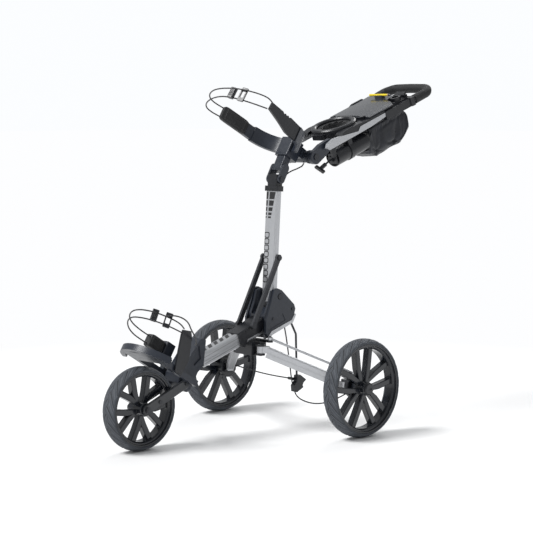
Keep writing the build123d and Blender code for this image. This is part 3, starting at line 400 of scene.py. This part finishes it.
# ---- new pieces from arrays ----------------------------------------------------------------------
def grid_mesh(name, points, wrap_u=False, wrap_v=False, capped=False):
    """Mesh over a grid of points (rows, columns, 3). Each cell is a quad; wrapping joins the last
    row or column to the first, and caps close the first and last row with one face each."""
    rows, columns = points.shape[:2]
    row = np.arange(rows if wrap_u else rows - 1)
    column = np.arange(columns if wrap_v else columns - 1)
    r0, c0 = np.meshgrid(row, column, indexing="ij")
    r1 = (r0 + 1) % rows
    c1 = (c0 + 1) % columns
    quads = np.stack([r0 * columns + c0, r0 * columns + c1, r1 * columns + c1, r1 * columns + c0], axis=-1)
    faces = quads.reshape(-1, 4).tolist()
    if capped:
        faces.append(list(range(columns)))
        faces.append(list(range(rows * columns - 1, (rows - 1) * columns - 1, -1)))
    mesh = bpy.data.meshes.new(name)
    mesh.from_pydata(points.reshape(-1, 3).tolist(), [], faces)
    return mesh


def add_piece(name, mesh, material, body):
    """Link a finished mesh as a smooth piece on a body."""
    piece = bpy.data.objects.new(name, mesh)
    bpy.context.scene.collection.objects.link(piece)
    mesh.materials.append(material)
    mesh.polygons.foreach_set("use_smooth", np.full(len(mesh.polygons), True))
    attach(piece, body)
    return piece


# ---- strap cords ---------------------------------------------------------------------------------
# Routes in the bag's own axes, millimetres; the upper ones count their height from the upper cradle.
MM = 0.001
CORD_DIAMETER = 4.0 * MM
BRAID_SCALE = (160.0, 8.0, 1.0)
LOWER_CORD_ROUTES = [
    [(-70, -8, 78), (-71, -30, 77), (-70, -68, 77), (-61, -105, 78), (-43, -136, 81), (-17, -160, 85),
     (12, -174, 90), (36, -170, 96), (54, -152, 102), (66, -130, 106), (78, -104, 109), (84, -76, 111),
     (80, -50, 112), (68, -27, 111)],
    [(-74, -8, 56), (-76, -32, 56), (-79, -66, 57), (-68, -100, 60), (-46, -131, 64), (-18, -156, 68),
     (8, -165, 73), (25, -152, 79), (34, -132, 85), (43, -108, 90), (53, -80, 94), (60, -54, 97),
     (64, -26, 99)],
    [(80, -116, 107), (96, -110, 114), (107, -92, 120), (108, -68, 122), (99, -44, 121), (88, -20, 115),
     (86, 4, 106), (72, 30, 100), (52, 52, 100), (31, 66, 102)],
]
UPPER_CORD_ROUTES = [
    [(-115, -64, 15), (-122, -80, 15), (-131, -102, 15), (-134, -127, 16), (-118, -150, 19),
     (-89, -165, 22), (-55, -171, 24), (-22, -169, 26), (8, -163, 28), (38, -153, 28), (66, -140, 28),
     (90, -124, 27), (102, -108, 25), (99, -91, 22)],
    [(-118, -64, -13), (-127, -80, -13), (-139, -99, -12), (-143, -120, -10), (-128, -139, -7),
     (-100, -154, -4), (-70, -162, -1), (-38, -163, 2), (-8, -154, 3), (20, -142, 3), (47, -125, 3),
     (70, -107, 3), (86, -91, 4)],
]


def braid_material():
    """Elastic cord's woven cover: two crossing waves round and along the cord, with flecks."""
    material, build, shader = new_material("cord_braid")
    uv = build.add("ShaderNodeTexCoord").outputs["UV"]
    waves = []
    for turn in (0.6, -0.6):
        turned = build.add("ShaderNodeMapping",
                           {"Vector": uv, "Rotation": (0, 0, turn), "Scale": BRAID_SCALE})
        wave = build.add("ShaderNodeTexWave", {"Vector": turned.outputs[0], "Scale": 1.0})
        waves.append(wave.outputs["Fac"])
    weave = build.math("MAXIMUM", *waves)
    fleck = build.ramp(build.noise(object_place(build), 700.0), (0.55, 0.7))
    tone = build.mix(build.math("MULTIPLY", fleck, 0.5), (0.012, 0.012, 0.014, 1), (0.06, 0.06, 0.065, 1))
    build.tree.links.new(tone, shader.inputs["Base Color"])
    bump = build.add("ShaderNodeBump", {"Strength": 0.5, "Distance": 0.0004, "Height": weave})
    build.tree.links.new(bump.outputs[0], shader.inputs["Normal"])
    shader.inputs["Roughness"].default_value = 0.62
    shader.inputs["Sheen Weight"].default_value = 0.25
    return material


def make_cord(name, route, lift, body, material):
    """One strand: a NURBS line through its route's points, round in section, held at both ends. Its
    thickness is set at its points, so the curve's own box is no larger than the strand."""
    points = placed("bag", np.array(route) * MM + np.array([0.0, 0.0, lift]))
    curve = bpy.data.curves.new(name, "CURVE")
    curve.dimensions = "3D"
    curve.bevel_depth = 1.0
    curve.bevel_resolution = 4
    curve.resolution_u = 8
    curve.use_fill_caps = True
    spline = curve.splines.new("NURBS")
    spline.points.add(len(points) - 1)
    for point, place in zip(spline.points, points):
        point.co = (*place, 1.0)
        point.radius = CORD_DIAMETER / 2
    spline.order_u = 3
    spline.use_endpoint_u = True
    curve.materials.append(material)
    piece = bpy.data.objects.new(name, curve)
    bpy.context.scene.collection.objects.link(piece)
    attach(piece, body)
    cord_length(piece)
    return piece


def cord_length(piece):
    """Length of a curve's own line, measured on it without its round section."""
    depth = piece.data.bevel_depth
    piece.data.bevel_depth = 0.0
    mesh = bpy.data.meshes.new_from_object(piece)
    piece.data.bevel_depth = depth
    places = np.empty(len(mesh.vertices) * 3)
    mesh.vertices.foreach_get("co", places)
    steps = np.diff(places.reshape(-1, 3), axis=0)
    bpy.data.meshes.remove(mesh)
    return float(np.linalg.norm(steps, axis=1).sum())


def make_cords():
    """The five strands of the two straps."""
    braid = braid_material()
    sets = (("lower", LOWER_CORD_ROUTES, 0.0, "frame"), ("upper", UPPER_CORD_ROUTES, UPPER_CRADLE, "neck"))
    for strap, routes, lift, body in sets:
        for index, route in enumerate(routes):
            piece = make_cord(f"{strap}_cord_{index}", route, lift, body, braid)
            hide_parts(f"{strap}_cords")


make_cords()

# ---- tyres ---------------------------------------------------------------------------------------
TYRE_HALF = 0.026
BEAD_DEPTH = 0.014
SHOULDER_DROP = 0.009
TREAD_CUT = 0.0024
CROWN_POINTS = 33
TURN_POINTS = 900
REAR_RADIUS = 0.146
FRONT_RADIUS = 0.1205
REAR_BLOCKS = 22
FRONT_BLOCKS = 18
HALF_TRACK = 0.3055
FRONT_AXLE = (0.0, REAR_AXLE_Y - 0.594, FRONT_RADIUS)


def smooth_step(value, low, high):
    """0 below low, 1 above high, with a soft S between."""
    t = np.clip((value - low) / (high - low), 0.0, 1.0)
    return t * t * (3.0 - 2.0 * t)


def tread_depth(turn, across, blocks):
    """How far the tread is cut, 0 to 1. Each side has leaf-shaped blocks: slanting grooves that
    bend back towards the shoulder, one side half a step behind the other, and a zigzag between."""
    side = np.where(across >= 0, 0.5, 0.0)
    reach = np.abs(across)
    phase = blocks * turn / (2 * pi) + side - 1.15 * reach + 0.16 * np.sin(pi * reach)
    saw = np.abs(phase - np.round(phase))
    groove = 1.0 - smooth_step(saw, 0.05, 0.13)
    rib = 0.16 * np.sin(blocks * turn)
    middle = 1.0 - smooth_step(np.abs(across - rib), 0.04, 0.09)
    sipe_phase = phase + 0.5
    sipe = 0.55 * (1.0 - smooth_step(np.abs(sipe_phase - np.round(sipe_phase)), 0.02, 0.05))
    sipe = sipe * smooth_step(reach, 0.3, 0.45) * (1.0 - smooth_step(reach, 0.8, 0.92))
    return np.clip(np.maximum.reduce([groove * smooth_step(reach, 0.02, 0.1), middle, sipe]), 0.0, 1.0)


def make_tyre(name, centre, radius, blocks, body, node, material):
    """Tyre as a profile (across x, radius) carried round the axle: crowned tread, a shoulder that
    rolls into the wall, a raised ring on the wall, and the bead; the tread's cuts lower the radius."""
    crown = np.linspace(-1.0, 1.0, CROWN_POINTS)
    across_crown = crown * (TYRE_HALF - 0.0012)
    height_crown = radius - SHOULDER_DROP * np.abs(crown) ** 2.2 * 0.9
    wall_t = np.linspace(0.0, 1.0, 12)[1:]
    wall_height = radius - SHOULDER_DROP - wall_t * (BEAD_DEPTH - SHOULDER_DROP)
    wall_bulge = TYRE_HALF - 0.0010 * wall_t ** 2 - 0.0006 * (np.sin(wall_t * 3 * pi) > 0.3)
    inner = np.linspace(1.0, -1.0, 5)[1:-1]
    across = np.concatenate([across_crown, wall_bulge, inner * 0.022, -wall_bulge[::-1]])
    height = np.concatenate([height_crown, wall_height, np.full(3, radius - BEAD_DEPTH), wall_height[::-1]])
    plain = np.zeros(len(across) - CROWN_POINTS)
    on_tread = np.concatenate([np.ones(CROWN_POINTS), plain])
    reach = np.concatenate([crown, plain])
    turn = np.linspace(0.0, 2 * pi, TURN_POINTS, endpoint=False)[:, None]
    cut = tread_depth(turn, reach[None, :], blocks) * on_tread[None, :]
    distance = height[None, :] - TREAD_CUT * cut
    x, y, z = centre
    side = np.broadcast_to(x + across[None, :], distance.shape)
    points = np.stack([side, y + distance * np.cos(turn), z + distance * np.sin(turn)], axis=-1)
    mesh = grid_mesh(name, points, wrap_u=True, wrap_v=True)
    depth = mesh.attributes.new("tread_cut", "FLOAT", "POINT")
    depth.data.foreach_set("value", cut.reshape(-1).astype(np.float32))
    piece = add_piece(name, mesh, material, body)
    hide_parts(node)


def tyre_material():
    """Grey rubber: dusty blocks with a painted highlight along their edges, painted shade in the grooves,
    mottled wear and a fine pitted skin.
    """
    material, build, shader = new_material("tyre_rubber")
    place = object_place(build)
    cut = build.add("ShaderNodeAttribute", attribute_name="tread_cut").outputs["Fac"]
    mottle = build.ramp(build.noise(place, 45.0, 6.0, 0.65), (0.35, 0.7))
    dust = build.ramp(build.noise(place, 14.0, 5.0, 0.6), (0.4, 0.75))
    tone = build.mix(mottle, (0.034, 0.039, 0.048, 1), (0.062, 0.070, 0.083, 1))
    tone = build.mix(build.math("MULTIPLY", dust, 0.3), tone, (0.12, 0.13, 0.145, 1))
    # pale edges on the blocks: a painted highlight where the cut is partway down the block's side
    from_edge = build.math("ABSOLUTE", build.math("SUBTRACT", cut, 0.38))
    painted_edge_highlight = build.math("SUBTRACT", 1.0, build.math("MULTIPLY", 2.6, from_edge), clamp=True)
    tone = build.mix(build.math("MULTIPLY", painted_edge_highlight, 0.8, clamp=True), tone, (0.20, 0.215, 0.24, 1))
    # darker with the cut's depth: painted shade in the grooves
    tone = build.mix(build.math("MULTIPLY", cut, 0.8), tone, (0.012, 0.013, 0.015, 1))
    build.tree.links.new(tone, shader.inputs["Base Color"])
    rough = build.math("ADD", 0.62, build.math("MULTIPLY", mottle, 0.18))
    build.tree.links.new(rough, shader.inputs["Roughness"])
    pits = build.noise(place, 1500.0, 3.0)
    bump = build.add("ShaderNodeBump", {"Strength": 0.35, "Distance": 0.0004, "Height": pits})
    build.tree.links.new(bump.outputs[0], shader.inputs["Normal"])
    return material


def make_tyres():
    """The three tyres with their tread."""
    rubber = tyre_material()
    for side, sign in (("left", 1), ("right", -1)):
        centre = (sign * HALF_TRACK, REAR_AXLE_Y, REAR_RADIUS)
        make_tyre(f"tyre_{side}", centre, REAR_RADIUS, REAR_BLOCKS, f"{side}_wheel",
                  f"rear_tyre_{side}", rubber)
    make_tyre("tyre_front", FRONT_AXLE, FRONT_RADIUS, FRONT_BLOCKS, "front_wheel", "front_tyre",
              rubber)


make_tyres()

# ---- accessory bag -------------------------------------------------------------------------------
BAG_HALF = 0.064
BAG_FRONT = 0.247
BAG_LENGTH = 0.208
BAG_TOP = 0.001
BAG_ROWS = 90
BAG_COLUMNS = 150
CREASES = 34
CREASE_HEIGHTS = [-0.0050, 0.0038]
CLOTH_FRAMES = 16
CLOTH_STRETCH = 0.02
CLOTH_REACH = 0.006


def creases(s, a):
    """Slack cloth's creases: sharp-topped ridges and dents along short random lines. Each line has a
    middle, a direction and a length on the (along, round) sheet; its height falls off as the square
    of the distance across it, softly towards its ends."""
    random = np.random.default_rng(7)
    height = np.zeros(s.shape)
    for _ in range(CREASES):
        middle_s, middle_a = random.uniform(0.05, 0.95), random.uniform(0.0, 2 * pi)
        turn = random.uniform(0.15, pi - 0.15)
        length = random.uniform(0.14, 0.42)
        width = random.uniform(0.016, 0.050)
        around = (a - middle_a + pi) % (2 * pi) - pi
        step_s, step_a = s - middle_s, around / pi
        along = step_s * cos(turn) + step_a * sin(turn)
        off = step_a * cos(turn) - step_s * sin(turn)
        ridge = 1.0 / (1.0 + (off / width) ** 2) * np.exp(-(along / length) ** 4)
        height = height + random.choice(CREASE_HEIGHTS) * ridge
    return height


def bag_form(rows, columns):
    """Hanging bag: for each place round its section (angle) and along it, a box section with round
    lower corners whose depth swells towards the rear, and whose ends round off."""
    s = np.linspace(0.0, 1.0, rows)[:, None]
    a = np.linspace(0.0, 2 * pi, columns, endpoint=False)[None, :]
    end = np.sqrt(np.clip(1.0 - np.abs(2 * s - 1.0) ** 5, 0.0, 1.0))
    power = 0.42
    across = np.sign(np.cos(a)) * np.abs(np.cos(a)) ** power
    drop = np.sign(np.sin(a)) * np.abs(np.sin(a)) ** power
    depth = 0.086 + 0.020 * smooth_step(s, 0.0, 0.3) - 0.020 * smooth_step(s, 0.72, 1.0)
    narrow = 1.0 - 0.06 * (0.5 - 0.5 * drop)
    x = BAG_HALF * across * narrow * (0.90 + 0.10 * end)
    w = BAG_TOP - depth / 2 + depth / 2 * drop * (0.55 + 0.45 * end)
    w = w - 0.010 * (1.0 - end) * (0.5 - 0.5 * drop)
    u = BAG_FRONT + BAG_LENGTH * (0.5 + 0.5 * np.sign(2 * s - 1) * np.abs(2 * s - 1) ** 0.8)
    u = u + 0.012 * (1.0 - s) ** 2 * (0.5 + 0.5 * drop)
    slack = smooth_step(-drop, -0.75, 0.1) * end
    folds = creases(np.broadcast_to(s, x.shape), np.broadcast_to(a, x.shape)) * slack
    x = x + folds * across
    w = w + 0.7 * folds * drop
    return np.stack([x, u, w], axis=-1)


def nylon_material():
    """Coated nylon: fine square weave, dark and a little shiny, paler in soft patches."""
    material, build, shader = new_material("bag_nylon")
    place = object_place(build, -20.0)
    split = build.add("ShaderNodeSeparateXYZ", {0: place})
    threads = []
    for axis in ("X", "Y", "Z"):
        threads.append(build.math("SINE", build.math("MULTIPLY", split.outputs[axis], 2 * pi * 900)))
    weave = build.math("ADD", build.math("MULTIPLY", threads[0], threads[1]),
                       build.math("MULTIPLY", threads[2], build.math("ADD", threads[0], threads[1])))
    crease = build.noise(place, 22.0, 3.0, 0.5)
    tone = build.mix(build.ramp(crease, (0.45, 0.8)), (0.006, 0.0075, 0.012, 1), (0.014, 0.017, 0.026, 1))
    build.tree.links.new(tone, shader.inputs["Base Color"])
    rough = build.math("ADD", 0.28, build.math("MULTIPLY", build.ramp(crease, (0.3, 0.7)), 0.20))
    build.tree.links.new(rough, shader.inputs["Roughness"])
    small = build.add("ShaderNodeBump", {"Strength": 0.08, "Distance": 0.0002, "Height": weave})
    large = build.add("ShaderNodeBump", {"Strength": 0.45, "Distance": 0.006, "Height": crease,
                                         "Normal": small.outputs[0]})
    build.tree.links.new(large.outputs[0], shader.inputs["Normal"])
    shader.inputs["Specular IOR Level"].default_value = 0.35
    return material


def settle_cloth(piece, held, frames, stretch, limit):
    """Run Blender's cloth on a piece: it is cut larger than its frame by stretch, so it buckles and
    hangs; the held points stay, and no point ends further than limit from where it began."""
    mesh = piece.data
    start = np.empty(len(mesh.vertices) * 3)
    mesh.vertices.foreach_get("co", start)
    start = start.reshape(-1, 3)
    group = piece.vertex_groups.new(name="held")
    for weight in np.unique(held[held > 0]):
        group.add(np.flatnonzero(held == weight).tolist(), float(weight), "REPLACE")
    cloth = piece.modifiers.new("cloth", "CLOTH")
    cloth.settings.quality = 6
    cloth.settings.mass = 0.25
    cloth.settings.tension_stiffness = 18.0
    cloth.settings.compression_stiffness = 18.0
    cloth.settings.shear_stiffness = 8.0
    cloth.settings.bending_stiffness = 4.0
    cloth.settings.vertex_group_mass = "held"
    cloth.settings.shrink_min = -stretch
    cloth.settings.shrink_max = -stretch
    cloth.collision_settings.use_collision = False
    cloth.collision_settings.use_self_collision = False
    cloth.point_cache.frame_start = 1
    cloth.point_cache.frame_end = frames
    scene = bpy.context.scene
    for number in range(1, frames + 1):
        scene.frame_set(number)
    graph = bpy.context.evaluated_depsgraph_get()
    result = piece.evaluated_get(graph).to_mesh()
    moved = np.empty(len(result.vertices) * 3)
    result.vertices.foreach_get("co", moved)
    piece.evaluated_get(graph).to_mesh_clear()
    shift = moved.reshape(-1, 3) - start
    far = np.linalg.norm(shift, axis=1, keepdims=True)
    shift = shift * np.minimum(1.0, limit / np.maximum(far, 1e-9))
    piece.modifiers.remove(cloth)
    scene.frame_set(1)
    mesh.vertices.foreach_set("co", (start + shift).reshape(-1))
    mesh.update()


def make_bag():
    """Accessory bag: hanging form closed at both ends, settled as cloth from its upper edge, then
    smoothed."""
    form = bag_form(BAG_ROWS, BAG_COLUMNS)
    mesh = grid_mesh("accessory_pouch", placed("handle", form), wrap_v=True, capped=True)
    piece = add_piece("accessory_pouch", mesh, nylon_material(), "handle")
    held = np.clip(smooth_step(form[..., 2].reshape(-1), -0.016, -0.004), 0.0, 1.0).round(1)
    settle_cloth(piece, held, CLOTH_FRAMES, CLOTH_STRETCH, CLOTH_REACH)
    subdivide = piece.modifiers.new("smooth", "SUBSURF")
    subdivide.levels = 1
    subdivide.render_levels = 1
    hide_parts("accessory_bag")


make_bag()

# ---- arm pads ------------------------------------------------------------------------------------
PAD_POINTS = 160
LOWER_PAD_HALF = (0.0148, 0.0290, 0.0196)
LOWER_PAD_MIDDLE = (-0.073, 0.01325, 0.068)
LOWER_PAD_PANEL = (-0.30, 0.52, 0.62)
LOWER_PAD_RIBS = (0.40, 0.52, 0.64, 0.76)
UPPER_PAD_HALF = (0.0078, 0.0495, 0.0226)
UPPER_PAD_MIDDLE = (-0.10554, -0.03108, 0.0)
UPPER_PAD_TURN = -11.0
UPPER_PAD_PANEL = (0.0, 0.86, 0.74)
UPPER_PAD_RIBS = (-0.72, 0.72)


def pad_form(half, panel, ribs):
    """Closed rubber pad about its middle: a box whose edges are rounded by a power of sine and
    cosine, flat-ended. On its face (+x) a raised panel with a step round it, and ribs across it.
    half is (x, length, height); panel is the panel's (middle, half length, half height), and ribs
    are places along the length, all as parts of the halves."""
    round_power = 0.28
    a = np.linspace(0.0, 2 * pi, PAD_POINTS, endpoint=False)[None, :]
    s = np.linspace(-0.5 * pi, 0.5 * pi, PAD_POINTS)[:, None]
    end = np.abs(np.cos(s)) ** round_power
    length = np.sign(np.sin(s)) * np.abs(np.sin(s)) ** round_power
    thick = np.sign(np.cos(a)) * np.abs(np.cos(a)) ** round_power * end
    high = np.sign(np.sin(a)) * np.abs(np.sin(a)) ** round_power * end
    length = np.broadcast_to(length, thick.shape)
    middle, half_length, half_height = panel
    inside = np.maximum(np.abs(length - middle) / half_length, np.abs(high) / half_height)
    raised = 1.0 - smooth_step(inside, 0.88, 1.0)
    sunk = 1.0 - smooth_step(inside, 0.70, 0.78)
    relief = 0.0016 * raised - 0.0008 * sunk
    for rib in ribs:
        bar = 1.0 - smooth_step(np.abs(length - rib), 0.025, 0.045)
        relief = relief + 0.0018 * bar * (1.0 - smooth_step(np.abs(high), 0.78, 0.86))
    relief = relief * smooth_step(thick, 0.6, 0.95)
    return np.stack([half[0] * thick + relief - 0.0016, half[1] * length, half[2] * high], axis=-1)


def make_pad(name, form, turn, middle, lift, body, node):
    """One arm pad: its form is turned about the bag's axis and set at its middle in the bag's axes."""
    c = cos(radians(turn))
    s = sin(radians(turn))
    x = form[..., 0] * c - form[..., 1] * s + middle[0]
    y = form[..., 0] * s + form[..., 1] * c + middle[1]
    z = form[..., 2] + middle[2] + lift
    mesh = grid_mesh(name, placed("bag", np.stack([x, y, z], axis=-1)), wrap_v=True)
    piece = add_piece(name, mesh, materials["rubber"], body)
    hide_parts(node)


lower_form = pad_form(LOWER_PAD_HALF, LOWER_PAD_PANEL, LOWER_PAD_RIBS)
make_pad("lower_arm_pad", lower_form, 0.0, LOWER_PAD_MIDDLE, 0.0, "frame", "side_pad")
upper_form = pad_form(UPPER_PAD_HALF, UPPER_PAD_PANEL, UPPER_PAD_RIBS)
make_pad("upper_arm_pad", upper_form, UPPER_PAD_TURN, UPPER_PAD_MIDDLE, UPPER_CRADLE, "neck",
         "upper_pad")

# ---- finishes of the CAD parts -------------------------------------------------------------------
dress("rim", "rear_rim_left", "rear_rim_right", "front_rim")
dress("black", "hub_cap_left", "hub_cap_right", "saddle_collar", "mast_collar", "lower_clasp", "upper_clasp",
      "brake_yoke", "umbrella_tube", "tube_bracket", "brake_lever", "clamp_screw", "strap_post", "strap_arm",
      "carrier_left", "carrier_right", "leg_mount", "rear_yoke", "console")
dress("slate", "front_bracket", "bag_platform", "hub_block", "cover_left", "cover_right", "neck",
      "upper_bracket", "hinge_barrel", "hinge_arms")
dress("lid", "bin_lid")
dress("fork", "fork_arms")
dress("rubber", "cup_gasket")
dress("foam", "grip_foam")
dress("cable", "brake_cables", "handle_cable")
dress("mast", "mast_tube")
dress("tube", "lower_tube")
dress("rail", "rails", "grip_tube")
dress("leg", "leg_left", "leg_right", "tie_left", "tie_right", "hub_sole")
dress("dark_steel", "struts", "support_wires")
dress("dark_steel", "frame_bolts", "mast_bolts", "front_axle", "hinge_pin")


def pencil_material():
    """Yellow painted pencil with bare wood and graphite at its tip, along x."""
    material, build, shader = new_material("pencil_paint")
    place = object_place(build)
    x = build.add("ShaderNodeSeparateXYZ", {0: place}).outputs["X"]
    speck = build.noise(place, 300.0)
    paint = build.mix(build.ramp(speck, (0.4, 0.7)), (0.90, 0.72, 0.02, 1), (0.84, 0.62, 0.02, 1))
    wood = build.mix(build.ramp(x, (0.0245, 0.0255)), paint, (0.55, 0.36, 0.18, 1))
    tone = build.mix(build.ramp(x, (0.0295, 0.0300)), wood, (0.02, 0.02, 0.02, 1))
    build.tree.links.new(tone, shader.inputs["Base Color"])
    shader.inputs["Roughness"].default_value = 0.32
    return material


materials["pencil"] = pencil_material()
dress("pencil", "pencil")


# ---- studio --------------------------------------------------------------------------------------
FLOOR_HALF = 60.0
FLOOR_GLOW = (0.7, 2.0)
SURROUND = 0.5


def floor_material():
    """Pale matt floor with a barely visible grain, which fades to a white glow away from the trolley."""
    material, build, shader = new_material("studio_floor")
    place = object_place(build)
    speck = build.noise(place, 6.0, 2.0)
    tone = build.mix(speck, (0.93, 0.93, 0.93, 1), (0.96, 0.96, 0.96, 1))
    build.tree.links.new(tone, shader.inputs["Base Color"])
    shader.inputs["Roughness"].default_value = 0.8
    shader.inputs["Specular IOR Level"].default_value = 0.1
    away = build.add("ShaderNodeVectorMath", {0: place}, operation="LENGTH").outputs["Value"]
    glow = build.add("ShaderNodeEmission", {"Color": (0.985, 0.99, 1.0, 1.0), "Strength": 1.0})
    fade = build.add("ShaderNodeMixShader",
                     {0: build.ramp(away, FLOOR_GLOW), 1: shader.outputs[0], 2: glow.outputs[0]})
    sink = next(node for node in material.node_tree.nodes if node.type == "OUTPUT_MATERIAL")
    build.tree.links.new(fade.outputs[0], sink.inputs["Surface"])
    return material


def add_sun(name, place, strength, spread):
    """Soft sun that shines from a place towards the origin."""
    data = bpy.data.lights.new(name, "SUN")
    data.energy = strength
    data.angle = radians(spread)
    lamp = bpy.data.objects.new(name, data)
    bpy.context.scene.collection.objects.link(lamp)
    lamp.location = place
    lamp.rotation_euler = Vector(place).to_track_quat("Z", "Y").to_euler()


def make_studio():
    """Level floor, a dim white surround that shows bright behind the trolley, and two soft suns."""
    mesh = bpy.data.meshes.new("floor")
    corners = [(x * FLOOR_HALF, y * FLOOR_HALF, 0) for x, y in ((-1, -1), (1, -1), (1, 1), (-1, 1))]
    mesh.from_pydata(corners, [], [(0, 1, 2, 3)])
    mesh.materials.append(floor_material())
    floor = bpy.data.objects.new("floor", mesh)
    bpy.context.scene.collection.objects.link(floor)
    world = bpy.data.worlds.new("surround")
    bpy.context.scene.world = world
    world.use_nodes = True
    build = Nodes(world.node_tree)
    seen = build.add("ShaderNodeLightPath").outputs["Is Camera Ray"]
    background = world.node_tree.nodes["Background"]
    background.inputs["Color"].default_value = (0.97, 0.985, 1.0, 1.0)
    strength = build.math("ADD", SURROUND, build.math("MULTIPLY", seen, 1.0 - SURROUND))
    world.node_tree.links.new(strength, background.inputs["Strength"])
    add_sun("key", (-1.0, -2.2, 3.0), 2.5, 24)
    add_sun("rim", (-1.5, 3.0, 2.6), 0.8, 30)
    bpy.context.scene.view_settings.view_transform = "Standard"


make_studio()
